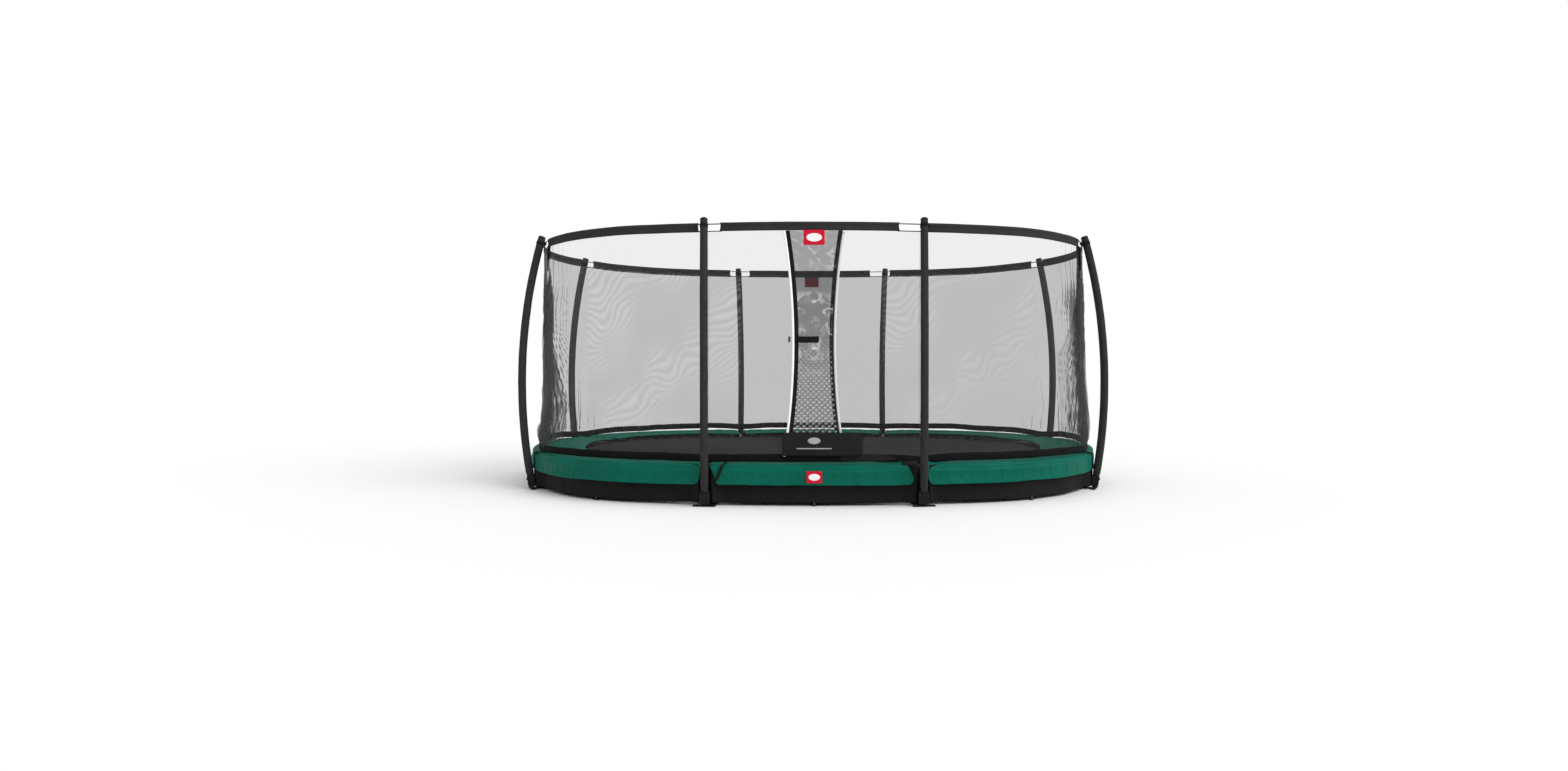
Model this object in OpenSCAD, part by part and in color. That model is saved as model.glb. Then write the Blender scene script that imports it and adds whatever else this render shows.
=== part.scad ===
// Oval low-frame trampoline with eight bowed posts, a safety net and a two-flap entrance.
// Millimetres. Origin on the ground under the middle, +X along the long side, entrance at -Y.
// Offsets are measured outward from the frame's outline, which is an oval of four arcs.

/* [Oval outline] */
// Half the length of the outline
half_length = 2350; // [2300:1:2400]
// Half the width of the outline
half_width = 1550; // [1530:1:1570]
// Radius of the two end arcs
end_radius = 1450; // [1440:1:1460]

/* [Frame] */
// Height of the frame tube's centre
frame_z = 258; // [250:1:262]
// Outer radius of the frame tube
frame_tube_r = 30; // [25:1:30]
// Offset of the frame tube's centre line
frame_offset = -50; // [-60:1:-48]
// Wall of the frame tube and of its sockets
frame_wall = 3; // [2:0.5:4]
// Length of the socket that joins two tubes at a leg
socket_length = 160; // [120:1:200]
// Radius of a leg tube
leg_r = 24; // [20:1:26]
// Radius of an anchor hole in a foot
anchor_hole_r = 5.5; // [4:0.5:7]

/* [Posts] */
// Offset of a post's axis at the ground
post_offset = 90; // [88:1:100]
// Height of a post's top, with its cap
post_height = 2043; // [2000:1:2080]
// How far a post's top stands inside its foot
post_lean = 85; // [70:1:95]
// How far the middle of a post bows outward
post_bow = 117; // [90:1:130]
// Radius of a post's steel tube
post_tube_r = 19; // [16:0.5:20]
// Radius of a post's foam sleeve
post_sleeve_r = 28; // [26:0.5:30]
// Distance along X of the side posts' feet from the middle
side_post_x = 775; // [740:1:800]
// Direction from the end arc's centre to an end post
end_post_angle = 26.9; // [24:0.1:30]

/* [Net] */
// Height of the net's top edge
net_top = 2011; // [1990:1:2012]
// Offset of the net's outer face
net_offset = -35; // [-40:1:-34]
// Height of the band round the net's top
band_height = 61; // [50:1:64]
// Height of the hem round the net's foot
hem_height = 56; // [50:1:60]
// Half the window that the band leaves at each post
band_window = 95; // [80:1:120]

/* [Entrance] */
// Half distance between the flaps' free edges at the top
flap_edge_top = 203; // [190:1:210]
// Half distance between the free edges at the waist
flap_edge_waist = 140; // [120:1:145]
// Half distance between the free edges at the foot
flap_edge_foot = 205; // [195:1:215]
// Height of the waist
flap_waist_z = 1180; // [1100:1:1250]
// Width of the tape along a free edge
tape_width = 30; // [25:1:35]
// Radius of the flexible rod along a free edge
rod_r = 8.5; // [4:0.5:9]

/* [Pads and skirt] */
// Height of the pads' top
pad_top = 335; // [330:1:345]
// Thickness of the pads
pad_thick = 33; // [28:1:36]
// Offset of the pads' outer edge
pad_outer = 80; // [70:1:84]
// Offset of the pads' inner edge
pad_inner = -360; // [-370:1:-345]
// Height of the valance's lower edge
valance_foot = 147; // [140:1:160]
// Half the gap between two pads at a post
pad_gap = 28; // [24:1:34]
// Offset of the skirt's outer face
skirt_offset = 30; // [20:1:34]
// Height of the skirt's lower edge
skirt_foot = 20; // [12:1:30]

/* [Jumping mat] */
// Offset of the mat's edge
mat_edge = -300; // [-310:1:-296]
// Height of the mat's top
mat_top = 270; // [262:1:275]
// Thickness of the mat
mat_thick = 4; // [3:0.5:6]
// Springs in one quarter of the frame
springs_per_quarter = 24; // [16:1:28]
// Radius of a spring's coil
spring_r = 12; // [10:0.5:14]

/* [Hidden] */
$fn = 64;
clear = 0.3;
cut_over = 1;

// The two side arcs follow from the outline's size and the end arcs' radius
end_centre = half_length - end_radius;
side_radius = (end_centre * end_centre + half_width * half_width - end_radius * end_radius)
    / (2 * (half_width - end_radius));
side_centre = side_radius - half_width;
// Angle, from the Y axis, at which a side arc turns into an end arc
join_angle = atan2(end_centre, side_centre);
side_post_angle = asin(side_post_x / (side_radius + post_offset));

// Bays run anticlockwise from the front; posts stand at their ends in the same order
BAYS = ["front", "front_right", "right", "back_right", "back", "back_left", "left", "front_left"];
// Sign in X, sign in Y and kind of each post: 0 stands on a side arc, 1 on an end arc
POSTS = [[-1, -1, 0], [1, -1, 0], [1, -1, 1], [1, 1, 1], [1, 1, 0], [-1, 1, 0], [-1, 1, 1], [-1, -1, 1]];
bay_count = len(BAYS);
// How far a bay's region reaches to each side of the outline
region_reach = 900;
// Azimuth of the plane in which a post bows, for each kind
POST_AZIMUTH = [96, 16];
// Azimuth of the small leg in the middle of a corner bay
corner_leg_azimuth = 58;

// A post's axis is one arc in the plane of its offset and Z
post_chord = norm([post_lean, post_height]);
post_arc_r = post_chord * post_chord / (8 * post_bow) + post_bow / 2;
post_arc_x = -post_lean / 2 - post_height / post_chord * (post_arc_r - post_bow);
post_arc_z = post_height / 2 - post_lean / post_chord * (post_arc_r - post_bow);
post_tube_foot = 14;
sleeve_foot = 118;
cap_height = 14;

coupling_length = 120;

clamp_z = 65;
clamp_height = 84;
clamp_depth = 27;
clamp_half_width = 38;
bolt_r = 4;
bolt_head_r = 7.5;
bolt_head = 6;
bolt_side = 28;
bolt_rise = 22;
foot_plate = 8;
foot_half_width = 80;
anchor_side = 62;
tongue_half_width = 25;
foot_bar_x = 125;
foot_bar_width = 36;
arm_half_width = 8;
arm_low = 34;
arm_high = 96;
foot_square = 60;
mid_leg_r = 19;
mid_foot_r = 30;
mid_foot = 10;
mid_saddle = 35;

net_thick = 3;
hem_foot = pad_top + 3;
valance_thick = 12;
skirt_thick = 3;
skirt_gap = 48;
border_width = 40;
band_depth = 14;
band_wall = 2;
ring_rod_r = 4;
hem_thick = 2;
tie_wide = 30;
// The lower ties end on the sockets
tie_foot = frame_z + frame_tube_r + frame_wall + 2 * clear;
webbing = 2;

flap_low = 345;
flap_top = net_top - band_height - 2;
// The outer flap hangs outside the net and the inner flap inside it
outer_flap_y = -(half_width + net_offset) - 5;
inner_flap_y = -(half_width + net_offset) + 25;
// Where the fixed net of the front bay stops, short of the middle
front_net_inner = 170;
flap_back = 225;
strap_left = -128;
strap_length = 162;
strap_height = 46;
toggle_left = -184;
toggle_width = 16;
toggle_depth = 10;
toggle_half_height = 20;
label_width = 150;
label_height = 110;
low_label_width = 110;
low_label_height = 84;
low_label_foot = 169;
label_thick = 1.5;
// How much of a hanging label is sewn to the band
label_seam = 4;
foot_panel_left = -216;
foot_panel_length = 562;
foot_panel_foot = 350;
foot_panel_height = 166;

spring_gap = 3;
spring_hook = 18;
v_ring_length = 28;
v_ring_gap = 1;
wire_r = 2;

// Degrees that an arc length takes at a radius
function arc_angle(length, radius) = length / radius * 180 / PI;

// Points on a quarter of the outline: distance s from the Y axis along the line at one offset
function quarter_point(s, offset) =
    let (side_length = (side_radius + offset) * join_angle * PI / 180)
    s < side_length
        ? let (a = 90 - arc_angle(s, side_radius + offset))
            [(side_radius + offset) * cos(a), (side_radius + offset) * sin(a) - side_centre, a]
        : let (a = 90 - join_angle - arc_angle(s - side_length, end_radius + offset))
            [end_centre + (end_radius + offset) * cos(a), (end_radius + offset) * sin(a), a];
function quarter_length(offset) =
    ((side_radius + offset) * join_angle + (end_radius + offset) * (90 - join_angle)) * PI / 180;

// A post's offset from its foot, and its tilt outward, at a height
function post_x(z) = post_arc_x + sqrt(post_arc_r * post_arc_r - (z - post_arc_z) * (z - post_arc_z));
function post_tilt(z) = -asin((z - post_arc_z) / post_arc_r);
function post_base(kind, offset) =
    kind == 0
        ? (side_radius + offset) * [sin(side_post_angle), cos(side_post_angle)] - [0, side_centre]
        : (end_radius + offset) * [cos(end_post_angle), sin(end_post_angle)] + [end_centre, 0];
function post_normal(kind) = kind == 0 ? 90 - side_post_angle : end_post_angle;

// A flap's free edge is one arc through its top, waist and foot
edge_chord_top = [flap_edge_top - flap_edge_waist, flap_top - flap_waist_z];
edge_chord_foot = [flap_edge_foot - flap_edge_waist, flap_low - flap_waist_z];
edge_det = 2 * (edge_chord_top[0] * edge_chord_foot[1] - edge_chord_top[1] * edge_chord_foot[0]);
edge_centre = [
    ((edge_chord_top * edge_chord_top) * edge_chord_foot[1]
        - (edge_chord_foot * edge_chord_foot) * edge_chord_top[1]) / edge_det + flap_edge_waist,
    ((edge_chord_foot * edge_chord_foot) * edge_chord_top[0]
        - (edge_chord_top * edge_chord_top) * edge_chord_foot[0]) / edge_det + flap_waist_z
];
edge_r = norm([flap_edge_waist, flap_waist_z] - edge_centre);
edge_angle_top = asin((flap_top - edge_centre[1]) / edge_r);
edge_angle_foot = asin((flap_low - edge_centre[1]) / edge_r);
edge_steps = 24;
// Half distance from the middle to the free edge at a height, widened by more
function edge_x(z, more = 0) =
    edge_centre[0] - sqrt((edge_r - more) * (edge_r - more) - (z - edge_centre[1]) * (z - edge_centre[1]));
function edge_line(more) =
    [for (i = [0:edge_steps])
        let (z = flap_low + (flap_top - flap_low) * i / edge_steps) [edge_x(z, more), z]];
function reversed(list) = [for (i = [len(list) - 1:-1:0]) list[i]];

// A profile of [offset, z] swept along the side arc between two angles from the Y axis
module side_arc(from, to) {
    translate([0, -side_centre, 0]) rotate([0, 0, 90 - to])
        rotate_extrude(angle = to - from, $fn = 720) translate([side_radius, 0]) children();
}

// The same along the end arc, between two angles from the X axis
module end_arc(from, to) {
    translate([end_centre, 0, 0]) rotate([0, 0, from])
        rotate_extrude(angle = to - from, $fn = 360) translate([end_radius, 0]) children();
}

module flipped(x_sign, y_sign) {
    mirror([x_sign < 0 ? 1 : 0, 0, 0]) mirror([0, y_sign < 0 ? 1 : 0, 0]) children();
}

// The outline as a flat shape, grown by an offset
module oval(offset) {
    half_side = (side_radius + offset) * sin(join_angle);
    for (side = [-1, 1]) translate([side * end_centre, 0]) circle(end_radius + offset, $fn = 360);
    intersection() {
        translate([0, -side_centre]) circle(side_radius + offset, $fn = 720);
        translate([0, side_centre]) circle(side_radius + offset, $fn = 720);
        translate([-half_side, -half_width - offset]) square([2 * half_side, 2 * (half_width + offset)]);
    }
}

// A point on a post's normal line, shifted along the outline: toward X for a positive shift
function beside_post(kind, offset, shift) =
    post_base(kind, offset) + shift * [sin(post_normal(kind)), -cos(post_normal(kind))];

// The flat region that one bay takes, between the normal lines of its two posts
module bay_region(index, trim) {
    if (index % 4 == 0) flipped(1, index == 0 ? -1 : 1) {
        low = beside_post(0, -region_reach, -trim);
        high = beside_post(0, region_reach, -trim);
        polygon([low, high, [-high[0], high[1]], [-low[0], low[1]]]);
    }
    if (index % 4 == 2) flipped(index == 2 ? 1 : -1, 1) {
        low = beside_post(1, -region_reach, trim);
        high = beside_post(1, region_reach, trim);
        polygon([low, high, [high[0], -high[1]], [low[0], -low[1]]]);
    }
    if (index % 2 == 1) flipped(index < 4 ? 1 : -1, index == 1 || index == 7 ? -1 : 1)
        polygon([
            beside_post(0, -region_reach, trim), beside_post(0, region_reach, trim),
            beside_post(1, region_reach, -trim), beside_post(1, -region_reach, -trim)
        ]);
}

// An upright wall along one bay, between two offsets and two heights, short of the posts by trim
module bay_wall(index, trim, inner, outer, low, high) {
    translate([0, 0, low]) linear_extrude(high - low) intersection() {
        difference() {
            oval(outer);
            oval(inner);
        }
        bay_region(index, trim);
    }
}

// Children stand at a post: X outward in the plane that the post bows in
module at_post(index) {
    p = POSTS[index];
    base = post_base(p[2], post_offset);
    flipped(p[0], p[1]) translate([base[0], base[1], 0]) rotate([0, 0, POST_AZIMUTH[p[2]]]) children();
}

// Children stand at a post's leg: X along the outline's normal, origin on the frame tube
module at_leg(index) {
    p = POSTS[index];
    base = post_base(p[2], frame_offset);
    flipped(p[0], p[1]) translate([base[0], base[1], 0]) rotate([0, 0, post_normal(p[2])]) children();
}

// A round bar along a post's axis between two heights
module post_bar(radius, low, high) {
    translate([post_arc_x, 0, post_arc_z]) rotate([90, 0, 0])
        rotate([0, 0, -post_tilt(low)])
        rotate_extrude(angle = post_tilt(low) - post_tilt(high), $fn = 720)
        translate([post_arc_r, 0]) circle(radius);
}

// Children lie across a post's axis at a height, with Z along the axis
module across_post(z) {
    translate([post_x(z), 0, z]) rotate([0, post_tilt(z), 0]) children();
}

// The round envelope of the frame tube at a post, for the sockets to be cut by
module tube_at_leg(index, radius, length) {
    p = POSTS[index];
    r = (p[2] == 0 ? side_radius : end_radius) + frame_offset;
    a = arc_angle(length / 2, r);
    at_leg(index) translate([-r, 0, frame_z]) rotate([0, 0, -a])
        rotate_extrude(angle = 2 * a, $fn = 360) translate([r, 0]) circle(radius);
}

module tube_profile() {
    translate([frame_offset, frame_z]) difference() {
        circle(frame_tube_r);
        circle(frame_tube_r - frame_wall);
    }
}

// The long tubes run past the side posts to where the outline turns
module frame_tubes_long() {
    end = join_angle - arc_angle(clear, side_radius);
    color("silver") for (y_sign = [-1, 1]) flipped(1, y_sign) side_arc(-end, end) tube_profile();
}

// Each end has three curved tubes, joined in the end posts' sockets
module frame_tubes_end() {
    gap = arc_angle(clear, end_radius);
    color("silver") for (x_sign = [-1, 1]) {
        flipped(x_sign, 1) end_arc(gap - end_post_angle, end_post_angle - gap) tube_profile();
        for (y_sign = [-1, 1]) flipped(x_sign, y_sign)
            end_arc(end_post_angle + gap, 90 - join_angle - gap) tube_profile();
    }
}

// A short straight tube inside each joint between a long and a corner tube
module tube_couplings() {
    p = quarter_point((side_radius + frame_offset) * join_angle * PI / 180, frame_offset);
    color("gray") for (x_sign = [-1, 1], y_sign = [-1, 1]) flipped(x_sign, y_sign)
        translate([p[0], p[1], frame_z]) rotate([0, 0, p[2]]) rotate([90, 0, 0])
        difference() {
            cylinder(r = frame_tube_r - frame_wall - 2, h = coupling_length, center = true);
            cylinder(r = frame_tube_r - 2 * frame_wall - 2,
                h = coupling_length + 2 * cut_over, center = true);
        }
}

// A T-shaped leg: socket, upright, arm and the inner half of the post clamp
module leg(index) {
    arm_end = post_offset - frame_offset + post_x(arm_low) - post_tube_r / 2;
    color([0.2, 0.2, 0.21]) difference() {
        union() {
            tube_at_leg(index, frame_tube_r + frame_wall + clear, socket_length);
            at_leg(index) {
                translate([0, 0, foot_plate]) cylinder(r = leg_r, h = frame_z - foot_plate);
                translate([0, -arm_half_width, arm_low])
                    cube([arm_end, 2 * arm_half_width, arm_high - arm_low]);
            }
            at_post(index) across_post(clamp_z)
                translate([-clamp_depth, -clamp_half_width, -clamp_height / 2])
                cube([clamp_depth - clear, 2 * clamp_half_width, clamp_height]);
        }
        tube_at_leg(index, frame_tube_r + clear, socket_length + 2 * cut_over);
        at_post(index) clamp_holes();
        at_leg(index) cylinder(r = leg_r - frame_wall, h = frame_z);
    }
}

// A T-shaped plate under each leg, with an anchor hole on both sides of the post
module foot_plates() {
    color([0.2, 0.2, 0.21]) for (i = [0:bay_count - 1]) at_leg(i) difference() {
        union() {
            translate([-foot_square, -foot_square, 0])
                cube([2 * foot_square, 2 * foot_square, foot_plate]);
            translate([0, -tongue_half_width, 0])
                cube([foot_bar_x + cut_over, 2 * tongue_half_width, foot_plate]);
            translate([foot_bar_x, -foot_half_width, 0])
                cube([foot_bar_width, 2 * foot_half_width, foot_plate]);
        }
        for (side = [-1, 1]) translate([foot_bar_x + foot_bar_width / 2, side * anchor_side, -cut_over])
            cylinder(r = anchor_hole_r, h = foot_plate + 2 * cut_over);
    }
}

module clamp_holes() {
    across_post(clamp_z) {
        translate([0, 0, -clamp_height]) cylinder(r = post_tube_r + clear, h = 2 * clamp_height);
        for (side = [-1, 1]) translate([-clamp_depth - 20, side * bolt_side, bolt_rise * side])
            rotate([0, 90, 0]) cylinder(r = bolt_r + clear, h = 2 * clamp_depth + 40);
    }
}

module post_clamps() {
    color([0.12, 0.12, 0.13]) for (i = [0:bay_count - 1]) at_post(i) difference() {
        across_post(clamp_z) translate([clear, -clamp_half_width, -clamp_height / 2])
            cube([clamp_depth - clear, 2 * clamp_half_width, clamp_height]);
        clamp_holes();
    }
}

module clamp_bolts() {
    color([0.35, 0.35, 0.36]) for (i = [0:bay_count - 1]) at_post(i) across_post(clamp_z)
        for (side = [-1, 1]) translate([0, side * bolt_side, bolt_rise * side]) rotate([0, 90, 0]) {
            translate([0, 0, -clamp_depth - 2 * bolt_head])
                cylinder(r = bolt_r, h = 2 * clamp_depth + 3 * bolt_head);
            translate([0, 0, clamp_depth]) cylinder(r = bolt_head_r, h = bolt_head, $fn = 6);
            translate([0, 0, -clamp_depth - bolt_head]) cylinder(r = bolt_head_r, h = bolt_head, $fn = 6);
        }
}

// A short plain leg with a half-round saddle under a tube of the given bend radius
module mid_leg(radius) {
    difference() {
        union() {
            cylinder(r = mid_leg_r, h = frame_z);
            cylinder(r = mid_foot_r, h = mid_foot);
            saddle_bar(radius, mid_saddle, frame_tube_r + frame_wall + clear);
        }
        saddle_bar(radius, mid_saddle + cut_over, frame_tube_r + clear);
        translate([-2 * frame_tube_r, -2 * frame_tube_r, frame_z])
            cube([4 * frame_tube_r, 4 * frame_tube_r, 2 * frame_tube_r]);
    }
}

module saddle_bar(radius, half_length_y, bar_r) {
    half_angle = arc_angle(half_length_y, radius);
    translate([-radius, 0, frame_z]) rotate([0, 0, -half_angle])
        rotate_extrude(angle = 2 * half_angle, $fn = 360) translate([radius, 0]) circle(bar_r);
}

module mid_legs() {
    side_r = side_radius + frame_offset;
    end_r = end_radius + frame_offset;
    color([0.2, 0.2, 0.21]) {
        for (y_sign = [-1, 1]) flipped(1, y_sign)
            translate([0, side_r - side_centre, 0]) rotate([0, 0, 90]) mid_leg(side_r);
        for (x_sign = [-1, 1]) flipped(x_sign, 1) translate([end_centre + end_r, 0, 0]) mid_leg(end_r);
        for (x_sign = [-1, 1], y_sign = [-1, 1]) flipped(x_sign, y_sign)
            translate([end_centre, 0, 0]) rotate([0, 0, corner_leg_azimuth])
            translate([end_r, 0, 0]) mid_leg(end_r);
    }
}

module post_tubes() {
    color("silver") for (i = [0:bay_count - 1]) at_post(i) difference() {
        post_bar(post_tube_r, post_tube_foot, post_height - cap_height);
        post_bar(post_tube_r - 2, post_tube_foot - 5, post_height - cap_height + 5);
    }
}

module post_sleeve(index) {
    color([0.16, 0.16, 0.17]) at_post(index) difference() {
        post_bar(post_sleeve_r, sleeve_foot, post_height - cap_height);
        post_bar(post_tube_r + clear / 2, sleeve_foot - 5, post_height);
    }
}

module post_caps() {
    color([0.1, 0.1, 0.1]) for (i = [0:bay_count - 1]) at_post(i) across_post(post_height - cap_height + clear)
        rotate_extrude() intersection() {
            translate([0, cap_height - post_sleeve_r - 6]) circle(post_sleeve_r + 6);
            square([post_sleeve_r, cap_height]);
        }
}

// Four flexible rods, end to end, that keep the top of the net in shape
module ring_rods() {
    side_end = join_angle - arc_angle(clear, side_radius);
    end_end = 90 - join_angle - arc_angle(clear, end_radius);
    color([0.15, 0.15, 0.15]) for (sign = [-1, 1]) {
        flipped(1, sign) side_arc(-side_end, side_end) ring_rod_profile();
        flipped(sign, 1) end_arc(-end_end, end_end) ring_rod_profile();
    }
}

module ring_rod_profile() {
    translate([net_offset + band_depth / 2, net_top - ring_rod_r - band_wall - 1]) circle(ring_rod_r);
}

// The band is a flat pocket round the ring rods, open at a window for each post
module top_band() {
    low = net_top - band_height;
    color([0.2, 0.2, 0.21]) for (i = [0:bay_count - 1]) difference() {
        bay_wall(i, band_window, net_offset, net_offset + band_depth, low, net_top);
        bay_wall(i, band_window - 5, net_offset + band_wall, net_offset + band_depth - band_wall,
            low + band_wall, net_top - band_wall);
    }
}

// The half of the front bay between one front post and the entrance
module beside_entrance(side, inner, outer, low, high) {
    intersection() {
        bay_wall(0, clear, inner, outer, low, high);
        flipped(side, -1) translate([front_net_inner, 0, 0]) cube([half_length, half_length, post_height]);
    }
}

module net_hem() {
    color([0.12, 0.12, 0.13]) {
        for (i = [1:bay_count - 1])
            bay_wall(i, clear, net_offset, net_offset + hem_thick, hem_foot, hem_foot + hem_height);
        for (side = [-1, 1])
            beside_entrance(side, net_offset, net_offset + hem_thick, hem_foot, hem_foot + hem_height);
    }
}

// At each post, a strap from the ring rod to the post's head, and one from the hem to the frame
module net_ties() {
    tie_z = net_top - 2 * ring_rod_r - band_wall - 2;
    ring_x = net_offset + band_depth / 2 - post_offset;
    color([0.1, 0.1, 0.1]) for (i = [0:bay_count - 1]) {
        at_post(i) translate([ring_x - ring_rod_r, -tie_wide / 2, tie_z - 3])
            cube([post_x(tie_z) - post_sleeve_r - ring_x + ring_rod_r - 2, tie_wide, 3]);
        at_leg(i)
            translate([net_offset - net_thick - webbing - clear - frame_offset, -tie_wide / 2, tie_foot])
            cube([webbing, tie_wide, hem_foot + 10 - tie_foot]);
    }
}

module net_bay(index) {
    color([0.55, 0.55, 0.57])
        bay_wall(index, clear, net_offset - net_thick, net_offset, hem_foot, net_top - 1);
}

module net_beside_entrance(side) {
    color([0.55, 0.55, 0.57])
        beside_entrance(side, net_offset - net_thick, net_offset, hem_foot, net_top - 1);
}

// A foam slab over the springs and a valance that hangs outside the frame
module pad(index) {
    color([0.06, 0.42, 0.32]) {
        bay_wall(index, pad_gap, pad_inner, pad_outer, pad_top - pad_thick, pad_top);
        bay_wall(index, pad_gap, pad_outer - valance_thick, pad_outer,
            valance_foot, pad_top - pad_thick + cut_over);
    }
}

module skirt() {
    skirt_top = pad_top - pad_thick - 6;
    color([0.1, 0.1, 0.11]) for (i = [0:bay_count - 1])
        bay_wall(i, skirt_gap, skirt_offset - skirt_thick, skirt_offset, skirt_foot, skirt_top);
}

module mat() {
    color([0.14, 0.14, 0.15]) translate([0, 0, mat_top - mat_thick]) linear_extrude(mat_thick) oval(mat_edge);
}

// Webbing sewn round the mat's edge, which the rings for the springs hang in
module mat_border() {
    color([0.1, 0.1, 0.1]) translate([0, 0, mat_top]) linear_extrude(webbing) difference() {
        oval(mat_edge - 4);
        oval(mat_edge - 4 - border_width);
    }
}

// Children stand at each spring, X outward along it, origin at the mat's edge
module at_springs() {
    for (x_sign = [-1, 1], y_sign = [-1, 1], i = [0:springs_per_quarter - 1]) {
        p = quarter_point(quarter_length(mat_edge) * (i + 0.5) / springs_per_quarter, mat_edge);
        flipped(x_sign, y_sign)
            translate([p[0], p[1], mat_top - mat_thick / 2]) rotate([0, 0, p[2]]) children();
    }
}

// A triangular wire ring in the border's edge for each spring
module v_rings() {
    color("silver") at_springs() translate([0, 0, -wire_r]) linear_extrude(2 * wire_r) difference() {
        polygon([[clear, -16], [clear, 16], [v_ring_length, 4], [v_ring_length, -4]]);
        polygon([[4, -10], [4, 10], [v_ring_length - 4, 2], [v_ring_length - 4, -2]]);
    }
}

module springs() {
    first = v_ring_length + v_ring_gap;
    last = frame_offset - frame_tube_r - mat_edge - spring_gap;
    color("silver") at_springs() rotate([0, 90, 0]) {
        translate([0, 0, first]) cylinder(r = wire_r, h = last - first);
        translate([0, 0, first + spring_hook]) cylinder(r = spring_r, h = last - first - 2 * spring_hook);
    }
}

// A flap's own net: a flat strip from behind the fixed net to the bowed free edge at -X
module flap_net(y) {
    color([0.5, 0.5, 0.52]) translate([0, y, 0]) rotate([90, 0, 0]) linear_extrude(net_thick)
        polygon(concat([[flap_back, flap_low], [flap_back, flap_top]],
            [for (p = reversed(edge_line(tape_width / 2))) [-p[0] + tape_width, p[1]]]));
}

module flap_tape(y) {
    color([0.1, 0.1, 0.1]) translate([0, y, 0]) rotate([90, 0, 0]) linear_extrude(net_thick)
        polygon(concat([for (p = edge_line(0)) [-p[0], p[1]]],
            [for (p = reversed(edge_line(0))) [-p[0] + tape_width, p[1]]]));
}

module flap_rod(y) {
    color("white") translate([-edge_centre[0], y, edge_centre[1]]) rotate([90, 0, 0])
        rotate([0, 0, edge_angle_foot])
        rotate_extrude(angle = edge_angle_top - edge_angle_foot, $fn = 720)
        translate([edge_r - rod_r - clear, 0]) circle(rod_r);
}

module outer_flap_net() {
    flap_net(outer_flap_y);
}

// The outer flap has a panel across its foot, in front of both rods
module outer_flap_tape() {
    flap_tape(outer_flap_y - net_thick);
    color([0.1, 0.1, 0.1])
        translate([foot_panel_left, outer_flap_y - net_thick - rod_r - 2 - webbing, foot_panel_foot])
        cube([foot_panel_length, webbing, foot_panel_height]);
}

module outer_flap_rod() {
    flap_rod(outer_flap_y - net_thick - 1);
}

module inner_flap_net() {
    mirror([1, 0, 0]) flap_net(inner_flap_y);
}

module inner_flap_tape() {
    mirror([1, 0, 0]) flap_tape(inner_flap_y - net_thick);
}

module inner_flap_rod() {
    mirror([1, 0, 0]) flap_rod(inner_flap_y - net_thick - 1);
}

// The strap lies on the tape and ends beside the rod
strap_y = outer_flap_y - 2 * net_thick - clear;

// The strap turns about the round bead at its sewn end
module closing_strap() {
    color([0.1, 0.1, 0.1]) translate([strap_left, strap_y - webbing, flap_waist_z - strap_height / 2]) {
        cube([strap_length, webbing, strap_height]);
        translate([strap_length, webbing / 2, 0]) cylinder(r = webbing, h = strap_height);
    }
}

// The toggle stands beyond the rod on a short loop
module strap_toggle() {
    loop_length = -flap_edge_waist - 2 * rod_r - 2 * clear - toggle_left - toggle_width / 2;
    color([0.05, 0.05, 0.05]) translate([toggle_left, outer_flap_y - net_thick - 1, flap_waist_z]) {
        translate([0, -toggle_depth / 2, -toggle_half_height])
            cube([toggle_width, toggle_depth, 2 * toggle_half_height]);
        translate([toggle_width / 2, 0, 0]) rotate([0, 90, 0]) cylinder(r = webbing, h = loop_length);
    }
}

// A label hangs from the band at the front and at the back, clear of the sliding rod, and one lies on the valance
module labels() {
    band_face = half_width + net_offset + band_depth;
    label_back = -outer_flap_y + net_thick + 1 + rod_r + clear;
    label_top = net_top - band_height + label_seam;
    color("crimson") {
        for (y_sign = [-1, 1]) flipped(1, y_sign) translate([-label_width / 2, 0, label_top]) {
            translate([0, label_back, -label_height]) cube([label_width, label_thick, label_height]);
            translate([0, band_face, -label_seam]) cube([label_width, label_back - band_face, label_seam]);
        }
        translate([-low_label_width / 2, -half_width - pad_outer - label_thick - 1, low_label_foot])
            cube([low_label_width, label_thick, low_label_height]);
    }
}

frame_tubes_long();
frame_tubes_end();
tube_couplings();
foot_plates();
for (i = [0:bay_count - 1]) leg(i);
mid_legs();
post_tubes();
post_caps();
post_clamps();
clamp_bolts();
for (i = [0:bay_count - 1]) post_sleeve(i);
ring_rods();
top_band();
net_hem();
net_ties();
net_beside_entrance(-1);  // net_front_left_of_entrance
net_beside_entrance(1);  // net_front_right_of_entrance
for (i = [1:bay_count - 1]) net_bay(i);
for (i = [0:bay_count - 1]) pad(i);
skirt();
mat();
mat_border();
v_rings();
springs();
outer_flap_net();
outer_flap_tape();
outer_flap_rod();
inner_flap_net();
inner_flap_tape();
inner_flap_rod();
closing_strap();
strap_toggle();
labels();
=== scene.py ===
"""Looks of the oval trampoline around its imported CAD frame. Metres, same frame as the CAD: +X along the
long side, +Z up, entrance at -Y, origin on the ground under the middle of the mat."""

import math

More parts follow.
